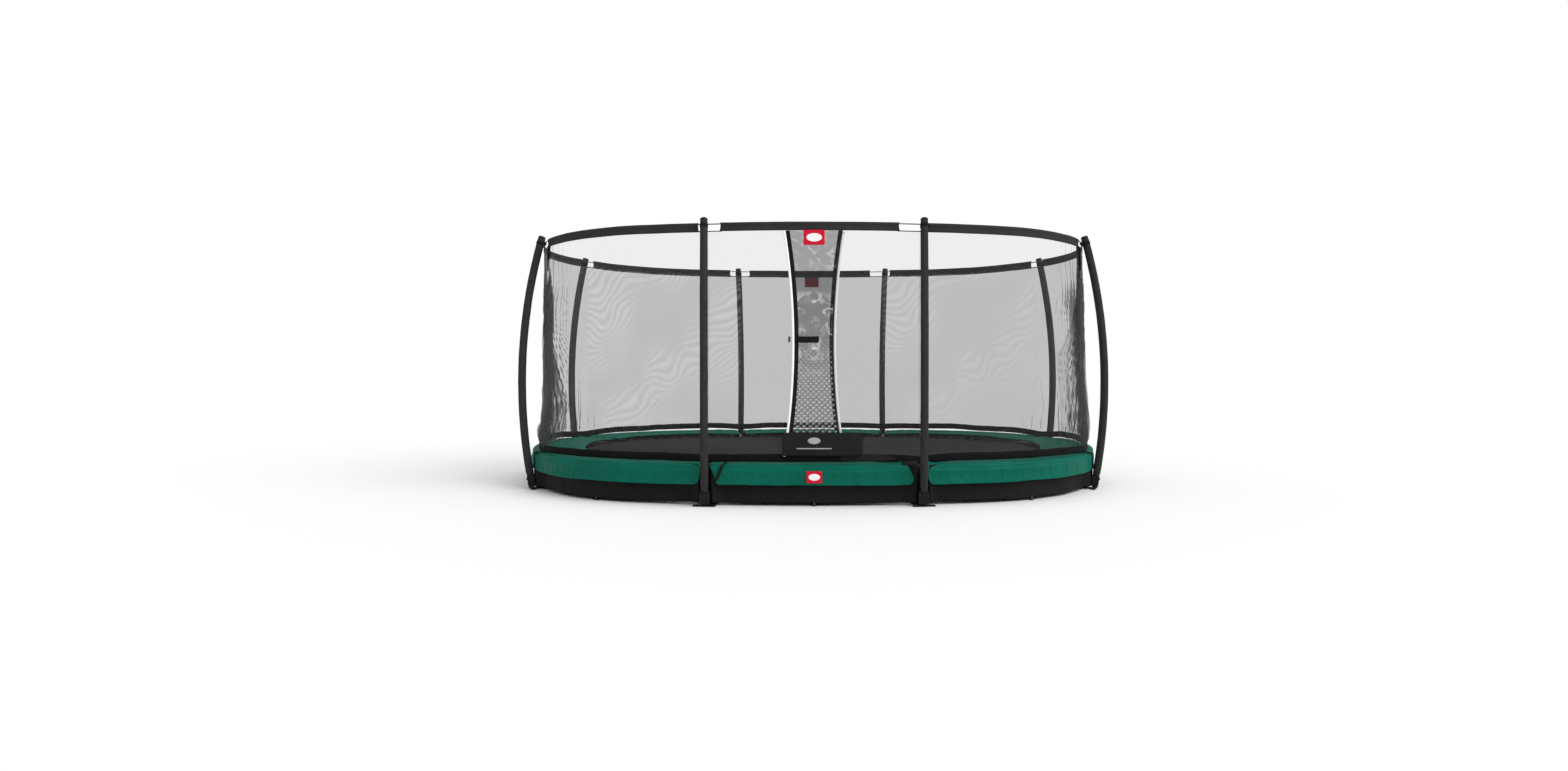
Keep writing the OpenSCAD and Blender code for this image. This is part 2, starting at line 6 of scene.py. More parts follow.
import bmesh
import bpy
import numpy as np
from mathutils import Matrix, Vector


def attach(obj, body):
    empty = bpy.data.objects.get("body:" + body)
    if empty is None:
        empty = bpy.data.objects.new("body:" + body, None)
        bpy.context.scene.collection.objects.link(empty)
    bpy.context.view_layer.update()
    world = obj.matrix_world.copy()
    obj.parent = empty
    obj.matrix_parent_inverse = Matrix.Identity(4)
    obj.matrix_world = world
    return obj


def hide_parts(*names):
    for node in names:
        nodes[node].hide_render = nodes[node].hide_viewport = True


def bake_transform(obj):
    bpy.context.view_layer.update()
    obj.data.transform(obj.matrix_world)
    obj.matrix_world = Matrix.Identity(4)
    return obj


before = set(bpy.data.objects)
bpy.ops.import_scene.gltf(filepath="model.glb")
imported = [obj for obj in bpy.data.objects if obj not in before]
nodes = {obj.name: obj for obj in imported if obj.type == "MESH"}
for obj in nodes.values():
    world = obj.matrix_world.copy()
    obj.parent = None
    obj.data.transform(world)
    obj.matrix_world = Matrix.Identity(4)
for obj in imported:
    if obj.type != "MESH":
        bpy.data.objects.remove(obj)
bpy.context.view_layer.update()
scene = bpy.context.scene

# ---------------------------------------------------------------- the outline, as in the CAD
HALF_L, HALF_W, END_R = 2.35, 1.55, 1.45
END_C = HALF_L - END_R
SIDE_R = (END_C**2 + HALF_W**2 - END_R**2) / (2 * (HALF_W - END_R))
SIDE_C = SIDE_R - HALF_W
JOIN = math.atan2(END_C, SIDE_C)
SIDE_LEN = SIDE_R * JOIN
QUARTER = SIDE_LEN + END_R * (math.pi / 2 - JOIN)
ROUND = 4 * QUARTER

POST_OFF, POST_LEAN, POST_H, POST_BOW = 0.09, 0.085, 2.043, 0.117
SLEEVE_R = (0.0288, 0.0288, 0.0312, 0.0316, 0.0316, 0.0316, 0.0316, 0.0312)
SIDE_A = math.asin(0.775 / (SIDE_R + POST_OFF))
END_A = math.radians(26.9)
S_SIDE = SIDE_R * SIDE_A
S_END = SIDE_LEN + END_R * (math.pi / 2 - JOIN - END_A)
POSTS = [(-1, -1, 0), (1, -1, 0), (1, -1, 1), (1, 1, 1), (1, 1, 0), (-1, 1, 0), (-1, 1, 1), (-1, -1, 1)]
POST_S = [-S_SIDE, S_SIDE, S_END, 2 * QUARTER - S_END, 2 * QUARTER - S_SIDE, 2 * QUARTER + S_SIDE,
          2 * QUARTER + S_END, ROUND - S_END]
BAYS = ["front", "front_right", "right", "back_right", "back", "back_left", "left", "front_left"]

CHORD = math.hypot(POST_LEAN, POST_H)
ARC_R = CHORD**2 / (8 * POST_BOW) + POST_BOW / 2
ARC_X = -POST_LEAN / 2 - POST_H / CHORD * (ARC_R - POST_BOW)
ARC_Z = POST_H / 2 - POST_LEAN / CHORD * (ARC_R - POST_BOW)

SLEEVE_FOOT, SLEEVE_TOP, SLEEVE_BORE = 0.1095, 2.029, 0.0195
PAD_TOP, PAD_OUT, PAD_IN, PAD_GAP, VALANCE_FOOT, FRAME_TOP = 0.335, 0.080, -0.36, 0.028, 0.147, 0.3045
SKIRT_OFF, SKIRT_GAP, SKIRT_FOOT, SKIRT_TOP = 0.030, 0.044, 0.020, 0.292
NET_TOP, NET_OFF, BAND_H = 2.011, -0.0365, 0.061
HEM_FOOT, HEM_H = 0.338, 0.056
MAT_OFF, MAT_TOP = -0.30, 0.27
BORDER_W = 0.046


def points(x, y, z):
    return np.stack(np.broadcast_arrays(x, y, z), -1)


def rim(s, off):
    """x, y and outward normal at distance s, anticlockwise from the front's middle, offset outward."""
    s = np.asarray(s, float) % ROUND
    off = np.asarray(off, float)
    q = np.minimum((s // QUARTER).astype(int), 3)
    t = s - q * QUARTER
    t = np.where(q % 2 == 0, t, QUARTER - t)
    side = t < SIDE_LEN
    a = np.where(side, math.pi / 2 - t / SIDE_R, math.pi / 2 - JOIN - (t - SIDE_LEN) / END_R)
    nx, ny = np.cos(a), np.sin(a)
    x = np.where(side, (SIDE_R + off) * nx, END_C + (END_R + off) * nx)
    y = np.where(side, (SIDE_R + off) * ny - SIDE_C, (END_R + off) * ny)
    sx, sy = np.where(q < 2, 1, -1), np.where((q == 1) | (q == 2), 1, -1)
    return x * sx, y * sy, nx * sx, ny * sy


def on_rim(s, off, z):
    """Points of an (s, offset, z) grid."""
    x, y, _, _ = rim(*np.broadcast_arrays(np.asarray(s, float), off, z)[:2])
    return points(x, y, z)


def post_point(i, z):
    """A point on a post's axis, the unit vector along it, and the one outward in the plane it bows in."""
    sx, sy, kind = POSTS[i]
    z = np.asarray(z, float)
    if kind == 0:
        bx, by = (SIDE_R + POST_OFF) * math.sin(SIDE_A), (SIDE_R + POST_OFF) * math.cos(SIDE_A) - SIDE_C
    else:
        bx, by = END_C + (END_R + POST_OFF) * math.cos(END_A), (END_R + POST_OFF) * math.sin(END_A)
    az = math.radians((96, 16)[kind])
    out = np.array([math.cos(az) * sx, math.sin(az) * sy, 0.0])
    reach = ARC_X + np.sqrt(ARC_R**2 - (z - ARC_Z) ** 2)
    p = points(bx * sx + out[0] * reach, by * sy + out[1] * reach, z)
    lean = -(z - ARC_Z) / np.sqrt(ARC_R**2 - (z - ARC_Z) ** 2)
    along = points(out[0] * lean, out[1] * lean, np.ones_like(z))
    along /= np.linalg.norm(along, axis=-1, keepdims=True)
    side = np.cross(along, out)
    return p, along, np.cross(side, along), side


def ripples(x, y, seed, size, octaves=2, waves=7):
    """Smooth noise of about -1 to 1 with features of the given size."""
    r = np.random.default_rng(seed)
    total, weight = 0.0, 0.0
    for k in range(octaves):
        amp = 0.5**k
        for _ in range(waves):
            a, f, p = r.uniform(0, math.tau), math.tau / size * 2**k * r.uniform(0.6, 1.3), r.uniform(0, 7)
            total = total + amp * np.sin(f * (x * math.cos(a) + y * math.sin(a)) + p)
        weight += amp * waves**0.5 * 1.3
    return total / weight


def smooth(t):
    t = np.clip(t, 0, 1)
    return t * t * (3 - 2 * t)


def bell(x, at, width):
    return np.exp(-((x - at) / width) ** 2)


def column(*span, **how):
    return np.linspace(*span, **how)[:, None]


def row(*span, **how):
    return np.linspace(*span, **how)[None, :]


def bay(i, gap=0.0):
    """Where a bay starts and ends along the outline, short of its two posts by the gap."""
    return POST_S[i] + gap, POST_S[(i + 1) % 8] + (ROUND if i == 7 else 0) - gap


def post_distance(s):
    """Distance along the outline to the nearest post, and which post that is."""
    gap = np.stack([np.abs((np.asarray(s, float) - p + ROUND / 2) % ROUND - ROUND / 2) for p in POST_S])
    return gap.min(0), gap.argmin(0)


# ---------------------------------------------------------------- mesh building
class Shape:
    def __init__(self):
        self.v, self.f, self.uv, self.n = [], [], [], 0

    def points(self, pts):
        at = self.n + np.arange(len(pts))
        self.v.append(np.asarray(pts, float))
        self.n += len(pts)
        return at

    def quads(self, idx, u, v, flip=False):
        """Faces over a grid of point numbers, with its UVs."""
        c = [(slice(None, -1), slice(None, -1)), (slice(1, None), slice(None, -1)),
             (slice(1, None), slice(1, None)), (slice(None, -1), slice(1, None))]
        if flip:
            c = c[::-1]
        uu, vv = np.broadcast_arrays(u, v)
        self.f += np.stack([idx[a] for a in c], -1).reshape(-1, 4).tolist()
        self.uv.append(np.stack([np.stack([uu[a], vv[a]], -1) for a in c], 2).reshape(-1, 2))

    def grid(self, pts, loop=False, wrap=False, flip=False):
        """A surface through a grid of points; wrap joins the last row to the first and loop the last column."""
        n, m = pts.shape[:2]
        idx = self.points(pts.reshape(-1, 3)).reshape(n, m)
        ext = pts
        if wrap:
            idx, ext = np.vstack([idx, idx[:1]]), np.concatenate([ext, ext[:1]], 0)
        if loop:
            idx, ext = np.hstack([idx, idx[:, :1]]), np.concatenate([ext, ext[:, :1]], 1)
        u = np.concatenate([[0], np.cumsum(np.linalg.norm(np.diff(ext, axis=0), axis=2).mean(1))])
        v = np.concatenate([[0], np.cumsum(np.linalg.norm(np.diff(ext, axis=1), axis=2).mean(0))])
        self.quads(idx, u[:, None], v[None, :], flip)
        return idx[: n, : m]

    def cap(self, ring, flip=False):
        ring = list(ring)[::-1] if flip else list(ring)
        self.f.append([int(i) for i in ring])
        self.uv.append(np.zeros((len(ring), 2)))

    def slab(self, front, back, wrap=False):
        """A closed body between two grids of points, front seen from the outside."""
        a = self.grid(front, wrap=wrap)
        b = self.grid(back, wrap=wrap, flip=True)
        n, m = a.shape
        edges = [(a[:, 0], b[:, 0], True), (a[:, -1], b[:, -1], False)]
        if wrap:
            edges = [(np.append(p, p[0]), np.append(q, q[0]), f) for p, q, f in edges]
        else:
            edges += [(a[0], b[0], False), (a[-1], b[-1], True)]
        for p, q, f in edges:
            pair = np.stack([p, q], 1)
            self.quads(pair, np.arange(len(p))[:, None] * 0.01, np.array([[0, 0.004]]), f)
        return a, b

    def tube(self, path, radius, sides=12, ref=None):
        """A round tube along a path; radius is one number, one per point, or a grid of (point, side)."""
        path = np.asarray(path, float)
        tan = np.gradient(path, axis=0)
        tan /= np.linalg.norm(tan, axis=1, keepdims=True)
        up = np.array(ref if ref is not None else (0, 0, 1) if abs(tan[0][2]) < 0.9 else (1, 0, 0), float)
        frames = []
        for t in tan:
            up = up - t * up.dot(t)
            up /= np.linalg.norm(up)
            frames.append((up, np.cross(t, up)))
        a = row(0, math.tau, sides, endpoint=False)[..., None]
        f0, f1 = np.array(frames).transpose(1, 0, 2)[:, :, None]
        r = np.broadcast_to(np.asarray(radius, float).reshape(-1, 1) if np.ndim(radius) == 1 else radius,
                            (len(path), sides))
        idx = self.grid(path[:, None] + r[..., None] * (np.cos(a) * f0 + np.sin(a) * f1), loop=True, flip=True)
        self.cap(idx[0])
        self.cap(idx[-1], flip=True)

    def strap(self, path, across, width, thick=0.002, swell=0.0):
        """A flat strap along a path; across is the direction of its width at each point."""
        path, across = np.asarray(path, float), np.asarray(across, float)
        across = np.broadcast_to(across, path.shape)
        tan = np.gradient(path, axis=0)
        face = np.cross(tan, across)
        face /= np.linalg.norm(face, axis=1, keepdims=True)
        k = np.linspace(-1, 1, 7)
        t = (thick / 2) * np.sqrt(np.clip(1 - 0.75 * k**8, 0, 1)) + swell * (1 - k * k)
        middle = path[:, None] + across[:, None] * (k * width / 2)[None, :, None]
        lift = face[:, None] * t[None, :, None]
        self.slab(middle + lift, middle - lift)

    def make(self, name, mat, body="frame", merge=False):
        me = bpy.data.meshes.new(name)
        me.from_pydata(np.concatenate(self.v).tolist(), [], self.f)
        layer = me.uv_layers.new(name="cloth")
        layer.data.foreach_set("uv", np.concatenate(self.uv).astype(np.float32).ravel())
        me.polygons.foreach_set("use_smooth", [True] * len(me.polygons))
        me.materials.append(mat)
        o = bpy.data.objects.new(name, me)
        scene.collection.objects.link(o)
        if merge:
            bm = bmesh.new()
            bm.from_mesh(me)
            bmesh.ops.remove_doubles(bm, verts=bm.verts, dist=1e-5)
            bm.to_mesh(me)
            bm.free()
        if body:
            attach(o, body)
        return o

    def piece(self, name, mat, slot, stands_for=None, **how):
        """The finished piece: its material and the CAD node that it stands for, if there is one. slot is not used."""
        o = self.make(name, M[mat], **how)
        if stands_for:
            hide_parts(stands_for)
        return o


def rim_slab(s, off, half, z):
    """A cloth along the outline, half is half its thickness."""
    sh = Shape()
    sh.slab(on_rim(s, off + half, z), on_rim(s, off - half, z))
    return sh


# ---------------------------------------------------------------- materials
MESH_PITCH, MESH_STRETCH = 0.006, 0.6
LABEL_BEHIND, DIAMONDS_BELOW = 1.24, 0.85


def node(tree, kind, props=None, **inputs):
    """A shader node; an input's name has _ for each blank, and _0, _1 … stand for its number."""
    n = tree.nodes.new(kind)
    for k, v in (props or {}).items():
        setattr(n, k, v)
    for k, v in inputs.items():
        sock = n.inputs[int(k[1:])] if k[0] == "_" and k[1:].isdigit() else n.inputs[k.replace("_", " ")]
        if isinstance(v, bpy.types.NodeSocket):
            tree.links.new(v, sock)
        else:
            sock.default_value = v
    return n


def maths(tree, op, a, b=0.0, c=0.0):
    return node(tree, "ShaderNodeMath", {"operation": op}, _0=a, _1=b, _2=c).outputs[0]


def times(tree, *values):
    total = values[0]
    for v in values[1:]:
        total = maths(tree, "MULTIPLY", total, v)
    return total


def noise(tree, vector, scale, detail, rough=0.5, out=0):
    return node(tree, "ShaderNodeTexNoise", Vector=vector, Scale=scale, Detail=detail, Roughness=rough).outputs[out]


def remap(tree, value, low, high, to_low=0.0, to_high=1.0):
    return node(tree, "ShaderNodeMapRange", Value=value, From_Min=low, From_Max=high, To_Min=to_low,
                To_Max=to_high).outputs[0]


def colours(tree, mix, dark, light, low=0.0, high=1.0):
    """A value between low and high as a colour between dark and light; a single number is a grey."""
    ramp = node(tree, "ShaderNodeValToRGB", Fac=mix)
    for stop, at, tone in zip(ramp.color_ramp.elements, (low, high), (dark, light)):
        stop.position, stop.color = at, (tone, tone, tone * 1.02, 1) if isinstance(tone, float) else (*tone, 1)
    return ramp.outputs[0]


def start(name, rough, metallic=0.0, **sockets):
    m = bpy.data.materials.new(name)
    m.use_nodes = True
    tree = m.node_tree
    shader = tree.nodes["Principled BSDF"]
    for k, v in {"Roughness": rough, "Metallic": metallic, **sockets}.items():
        shader.inputs[k.replace("_", " ")].default_value = v
    return m, tree, shader


def surface(tree, shader, colour, height, strength, distance):
    tree.links.new(colour, shader.inputs["Base Color"])
    bump = node(tree, "ShaderNodeBump", Strength=strength, Distance=distance, Height=height)
    tree.links.new(bump.outputs[0], shader.inputs["Normal"])


def weave_height(tree, pitch, stretch=1.0):
    """Height of a weave from the cloth's own coordinates in metres, and those coordinates."""
    uv = node(tree, "ShaderNodeUVMap", {"uv_map": "cloth"}).outputs[0]
    xyz = node(tree, "ShaderNodeSeparateXYZ", _0=uv).outputs
    f = math.tau / pitch
    u, v = (maths(tree, "SINE", times(tree, xyz[j], f * g)) for j, g in ((0, 1), (1, stretch)))
    return maths(tree, "MULTIPLY_ADD", times(tree, u, v), 0.5, 0.5), uv, xyz


def cloth(name, dark, light, rough=0.75, pitch=0.003, patch=0.35, crease=0.05, bump=0.3, weave=0.35,
          hollow_tone=0.15, **sockets):
    """Woven or coated fabric: a weave, soft colour patches and fine creases."""
    m, t, s = start(name, rough, **sockets)
    height, uv, _ = weave_height(t, pitch)
    big, fine = noise(t, uv, 1 / patch, 4.0, 0.55), noise(t, uv, 1 / crease, 5.0, 0.6)
    mix = maths(t, "MULTIPLY_ADD", height, weave, times(t, big, 1 - weave))
    # the fine crease noise also sets the colour: darker where the bump sinks into the creases
    mix = maths(t, "MULTIPLY_ADD", maths(t, "SUBTRACT", fine, 0.5), hollow_tone, mix)
    t.links.new(remap(t, fine, 0.0, 1.0, rough - 0.1, min(rough + 0.12, 1)), s.inputs["Roughness"])
    surface(t, s, colours(t, mix, dark, light, 0.25, 0.75), maths(t, "MULTIPLY_ADD", height, 0.25, fine), bump, 0.002)
    return m


def hard(name, dark, light, rough=0.4, metallic=0.0, size=0.02, bump=0.15, **sockets):
    """Paint, metal or moulded plastic: speckle and scuffs at two scales from the object's own coordinates."""
    m, t, s = start(name, rough, metallic, **sockets)
    co = node(t, "ShaderNodeTexCoord").outputs["Object"]
    speckle, scuffs = noise(t, co, 1 / size, 6.0, 0.65), noise(t, co, 0.12 / size, 3.0)
    mix = maths(t, "MULTIPLY_ADD", speckle, 0.45, times(t, scuffs, 0.55))
    t.links.new(remap(t, speckle, 0.0, 1.0, max(rough - 0.12, 0.05), rough + 0.12), s.inputs["Roughness"])
    surface(t, s, colours(t, mix, dark, light, 0.3, 0.7), noise(t, co, 6 / size, 2.0), bump, 0.0006)
    return m


def net_cloth(name, alpha, dark=0.02, light=0.09, shimmer=0.0):
    """Fine knitted mesh: the openings are one even see-through share, the threads show as a fine knit.
    Shimmer adds the curved lines that two layers of mesh draw together."""
    m, t, s = start(name, 0.6, Alpha=alpha)
    height, uv, xyz = weave_height(t, MESH_PITCH, MESH_STRETCH)
    mix = maths(t, "MULTIPLY_ADD", height, 0.4, times(t, noise(t, uv, 2.2, 5.0, 0.6), 0.6))
    colour = colours(t, mix, dark, light, 0.2, 0.8)
    if shimmer:
        slant = maths(t, "MULTIPLY_ADD", xyz[1], 95.0, times(t, xyz[0], 60.0))
        phase = maths(t, "MULTIPLY_ADD", noise(t, uv, 1.5, 1.0, 0.4), 70.0, slant)
        lines = maths(t, "MULTIPLY_ADD", maths(t, "SINE", phase), 0.5, 0.5)
        share = times(t, lines, remap(t, noise(t, uv, 1.3, 1.0), 0.38, 0.54), shimmer)
        glow = node(t, "ShaderNodeCombineXYZ", _0=share, _1=share, _2=share).outputs[0]
        colour = node(t, "ShaderNodeVectorMath", {"operation": "ADD"}, _0=colour, _1=glow).outputs[0]
    surface(t, s, colour, height, 0.4, 0.001)
    return m


def flap_cloth(name, alpha):
    """The flaps' mesh: crumpled, with painted highlight streaks in the base colour where the creases catch the light,
    but none over the label behind it, and a coarse knit of diamonds lower down."""
    m, t, s = start(name, 0.45, Alpha=alpha, Specular_IOR_Level=0.2)
    height, uv, (across, up, _) = weave_height(t, MESH_PITCH, MESH_STRETCH)
    cells = times(t, maths(t, "SINE", times(t, across, 150.0)), maths(t, "SINE", times(t, up, 165.0)))
    diamonds = times(t, remap(t, cells, 0.10, 0.55), remap(t, up, 0.50, DIAMONDS_BELOW, 0.55, 0.0))
    bend = noise(t, uv, 6.0, 3.0, out="Color")
    warped = node(t, "ShaderNodeVectorMath", {"operation": "MULTIPLY_ADD"}, _0=bend, _1=(0.30, 0.30, 0.0), _2=uv)
    lines = noise(t, warped.outputs[0], 8.0, 2.0, 0.45)
    highlight_streak = remap(t, maths(t, "ABSOLUTE", maths(t, "SUBTRACT", lines, 0.5)), 0.0, 0.075, 0.80, 0.0)
    where = remap(t, noise(t, uv, 7.5, 2.0), 0.46, 0.58)
    away = remap(t, maths(t, "ABSOLUTE", maths(t, "SUBTRACT", up, LABEL_BEHIND)), 0.06, 0.12)
    # glow is a painted highlight: pale streaks put into the base colour where the creases would catch the light
    glow = times(t, times(t, highlight_streak, where), times(t, remap(t, up, 0.50, 0.80), away))
    mix = maths(t, "ADD", maths(t, "ADD", diamonds, glow), times(t, height, 0.03))
    surface(t, s, colours(t, mix, 0.008, 0.92), height, 0.4, 0.001)
    return m


SOFT = {"Specular_IOR_Level": 0.06}

M = {
    "steel": hard("galvanised", 0.38, 0.62, 0.42, 1.0, 0.03),
    "spring": hard("zinc_wire", 0.5, 0.72, 0.3, 1.0, 0.01),
    "black_steel": hard("powder_coat", 0.006, 0.013, 0.55, 0.0, 0.012, 0.35, Specular_IOR_Level=0.12),
    "bolt": hard("dark_bolt", 0.02, 0.05, 0.38, 1.0, 0.006),
    "plastic": hard("moulded_black", 0.006, 0.012, 0.42, 0.0, 0.01, 0.2, Specular_IOR_Level=0.3),
    "rod_white": hard("white_rod", (0.86, 0.86, 0.85), (0.93, 0.93, 0.92), 0.28, 0.0, 0.02, 0.05),
    "rod_black": hard("black_rod", 0.010, 0.02, 0.3, 0.0, 0.02, 0.05),
    "sleeve": cloth("sleeve_cover", 0.021, 0.034, 0.66, 0.0022, 0.12, 0.03, 0.35, **SOFT),
    "webbing": cloth("webbing", 0.006, 0.014, 0.75, 0.0028, 0.15, 0.02, 0.5, **SOFT),
    "band": cloth("band_cloth", 0.022, 0.036, 0.66, 0.0025, 0.2, 0.03, 0.35, **SOFT),
    "hem": cloth("hem_cloth", 0.005, 0.010, 0.7, 0.0025, 0.2, 0.03, 0.35, **SOFT),
    "green": cloth("green_cover", (0.0005, 0.080, 0.052), (0.0025, 0.124, 0.082), 0.5, 0.0016, 0.5, 0.09, 0.22,
                   0.12, 0.2, **SOFT),
    "skirt": cloth("skirt_cloth", 0.007, 0.014, 0.6, 0.003, 0.5, 0.12, 0.35, **SOFT),
    "mat": cloth("mat_weave", 0.020, 0.046, 0.8, 0.006, 1.1, 0.05, 0.4, Specular_IOR_Level=0.0),
    "panel": cloth("foot_panel", 0.011, 0.018, 0.55, 0.002, 0.2, 0.03, 0.2, **SOFT),
    "red": cloth("red_label", (0.50, 0.006, 0.024), (0.60, 0.012, 0.040), 0.5, 0.0012, 0.1, 0.02, 0.2, **SOFT),
    "white": cloth("white_print", (0.78, 0.75, 0.75), (0.9, 0.87, 0.87), 0.5, 0.0012, 0.1, 0.02, 0.15, **SOFT),
    "net": net_cloth("net_mesh", 0.16),
    "pleat_net": net_cloth("pleat_net_mesh", 0.34),
    "back_net": net_cloth("back_net_mesh", 0.42),
    "rippled_net": net_cloth("rippled_net_mesh", 0.44, 0.008, 0.05, 0.27),
    "flap": flap_cloth("flap_mesh", 0.43),
    "print_grey": cloth("pale_print", 0.30, 0.42, 0.5, 0.0012, 0.1, 0.02, 0.15, **SOFT),
}


DRESS = {"frame_tubes": "steel", "tube_couplings": "steel", "leg_": "black_steel", "foot_plates": "black_steel",
         "mid_legs": "black_steel", "post_clamps": "black_steel", "post_tubes": "black_steel", "clamp_bolts": "bolt",
         "v_rings": "spring", "ring_rods": "rod_black", "outer_flap_rod": "rod_white", "inner_flap_rod": "rod_white"}
for name, o in nodes.items():
    for begins, mat in DRESS.items():
        if name.startswith(begins):
            o.data.materials.clear()
            o.data.materials.append(M[mat])


# ---------------------------------------------------------------- posts
def around(post, radius, turn):
    """Points at an angle and a radius round a post's axis."""
    p, _, out, side = post
    return p[:, None] + radius * (np.cos(turn)[..., None] * out[:, None] + np.sin(turn)[..., None] * side[:, None])


def sleeves():
    z = np.concatenate([np.linspace(SLEEVE_FOOT, 0.16, 14), np.linspace(0.175, 1.99, 122),
                        np.linspace(2.0, SLEEVE_TOP, 9)])
    zz = z[:, None]
    a = row(0, math.tau, 48, endpoint=False)
    for i in range(8):
        post = post_point(i, z)
        r = SLEEVE_R[i] - 0.0006 + 0.0007 * ripples(zz, a * 0.028, 40 + i, 0.22)
        r -= (0.0045 + 0.0009 * np.cos(13 * a + i)) * bell(zz, SLEEVE_FOOT, 0.02)
        r -= (0.003 + 0.0007 * np.cos(11 * a)) * bell(zz, SLEEVE_TOP, 0.012)
        r += 0.0011 * bell(a, math.pi, 0.05) - 0.0007 * bell(a, math.pi, 0.13)
        r -= 0.0012 * bell(zz, 1.16, 0.004)
        s = Shape()
        idx = s.grid(around(post, r[..., None], a), loop=True)
        idn = s.grid(around(post, SLEEVE_BORE, a), loop=True, flip=True)
        for k, flip in ((0, True), (-1, False)):
            ring = np.stack([np.append(idx[k], idx[k][0]), np.append(idn[k], idn[k][0])], 1)
            s.quads(ring, np.arange(49)[:, None] * 0.004, np.array([[0, 0.008]]), flip)
        s.piece(f"post_cover_{i + 1}", "sleeve", "sleeve_fabric", f"post_sleeve_{i + 1}")


def caps():
    prof = [(0.0225, 0.0), (0.0262, 0.0006), (0.0272, 0.002), (0.0268, 0.0042), (0.0245, 0.0052), (0.0236, 0.0062),
            (0.0232, 0.0085), (0.0215, 0.0112), (0.018, 0.0132), (0.010, 0.0146), (0.003, 0.0150)]
    r, high = np.array(prof).T[..., None]
    s = Shape()
    for i in range(8):
        p, along, out, side = post_point(i, np.array([POST_H - 0.014]))
        wide = (SLEEVE_R[i] + 0.0004) / 0.0272
        turn = row(0, math.tau, 40, endpoint=False)
        idx = s.grid(around((p + high * along, along, out, side), r[..., None] * wide, turn), loop=True)
        s.cap(idx[0])
        s.cap(idx[-1], flip=True)
    s.piece("post_end_caps", "plastic", "black_plastic", "post_caps")


# ---------------------------------------------------------------- net
def front_distance(s):
    """Distance along the outline from the middle of the front."""
    s = np.asarray(s, float) % ROUND
    return np.minimum(s, ROUND - s)


def sag(s):
    """How far the hem and the pads sit lower round the front half than round the back."""
    return 0.026 * smooth((3.5 - front_distance(s)) / 1.0)


def pad_droop(s):
    """How far the pads' outer edge sinks toward the posts."""
    d, who = post_distance(s)
    deep = np.array([0.010, 0.028, 0.014, 0.014, 0.014, 0.014, 0.014, 0.014])[who]
    return deep * np.clip(1 - d / 0.36, 0, 1) ** 1.4


def net_share(z):
    """How far up the net a height is, 0 at the hem and 1 at the top."""
    return np.clip((z - HEM_FOOT) / (NET_TOP - HEM_FOOT), 0, 1)


def net_push(s, z):
    """Offset of the net: pulled in at its waist and out at the two ends' hem, with folds that rise from the hem,
    hang from the band, and fan out from the top of the end posts."""
    t = net_share(z)
    d, _ = post_distance(s)
    q = front_distance(s)
    middle = np.minimum(q, 2 * QUARTER - q)  # distance from the nearer long side's middle
    endness = smooth((middle - SIDE_LEN * 1.2) / 0.8)
    left = smooth((np.asarray(s, float) % ROUND - 2 * QUARTER) / 0.3)
    waist = (-0.030 + (0.038 + 0.010 * (1 - left)) * endness) * np.sin(math.pi * t) ** 0.9
    rise = 0.44 - 0.20 * left
    flare = (0.060 - 0.008 * left) * smooth((middle - 1.7) / 0.7) * bell(z, HEM_FOOT, rise)
    low = np.exp(-t * 3.2) * smooth(t / 0.05)
    high = np.exp(-(1 - t) * 6) * smooth((1 - t) / 0.06)
    drift = s + 0.05 * ripples(s, z, 5, 0.9)
    folds = np.sin(math.tau * drift / 0.061 + 2.2 * ripples(s, z * 0.2, 6, 0.35))
    folds = folds + 0.6 * np.sin(math.tau * drift / 0.113 + 1.7 * ripples(s, z * 0.25, 7, 0.5))
    gather = 0.0022 + 0.0120 * endness
    push = folds * gather * (low + 0.45 * high + 0.10 * endness)
    star = np.exp(-d / 0.20) * 0.006 * np.sin(9 * np.arctan2(d + 0.02, z - HEM_FOOT + 0.05) * 2.4)
    into = q - S_END
    turn = into / np.maximum(NET_TOP + 0.05 - z, 0.05)
    fan = np.sin(math.tau * turn / 0.082 + 1.5 * ripples(s, z, 11, 0.8)) * smooth(into / 0.05)
    fan = fan * smooth((1.25 - into) / 0.5) * smooth((NET_TOP - 0.12 - z) / 0.4) * smooth(t / 0.06) * 0.024
    fan = fan * (0.55 + 0.45 * ripples(s, z * 0.3, 13, 0.4))
    return NET_OFF + waist + flare + push + fan + star * low + 0.0035 * ripples(s, z * 0.35, 8, 0.45)


def hem_z(s):
    """Height of the hem's foot: it follows the pads, with a gap under it round the back."""
    q = front_distance(s)
    gap = -0.004 + smooth((q - 2 * QUARTER + 1.9) / 0.5) * (0.010 + 0.006 * ripples(s, s * 0, 19, 0.9))
    gap = gap - 0.009 * bell(2 * QUARTER - q, S_END, 0.24) + 0.0025 * ripples(s, s * 0, 9, 0.35)
    return HEM_FOOT - 0.001 - sag(s) - (0.7 + 0.25 * smooth((q - 1.5) / 0.5)) * pad_droop(s) + gap


NET_LOOKS = (None, "net", "back_net", "rippled_net", "back_net", "rippled_net", "back_net", "net")


def net_bays():
    for i in range(1, 8):
        s0, s1 = bay(i)
        s, k = column(s0, s1, int((s1 - s0) / 0.011)), row(0, 1, 84)
        foot = hem_z(s) + 0.012
        z = foot + (NET_TOP - 0.052 - foot) * k**1.15
        sh = Shape()
        sh.grid(on_rim(s, net_push(s, z), z))
        o = sh.piece(f"safety_net_{BAYS[i]}", NET_LOOKS[i], "net_mesh", f"net_{BAYS[i]}")


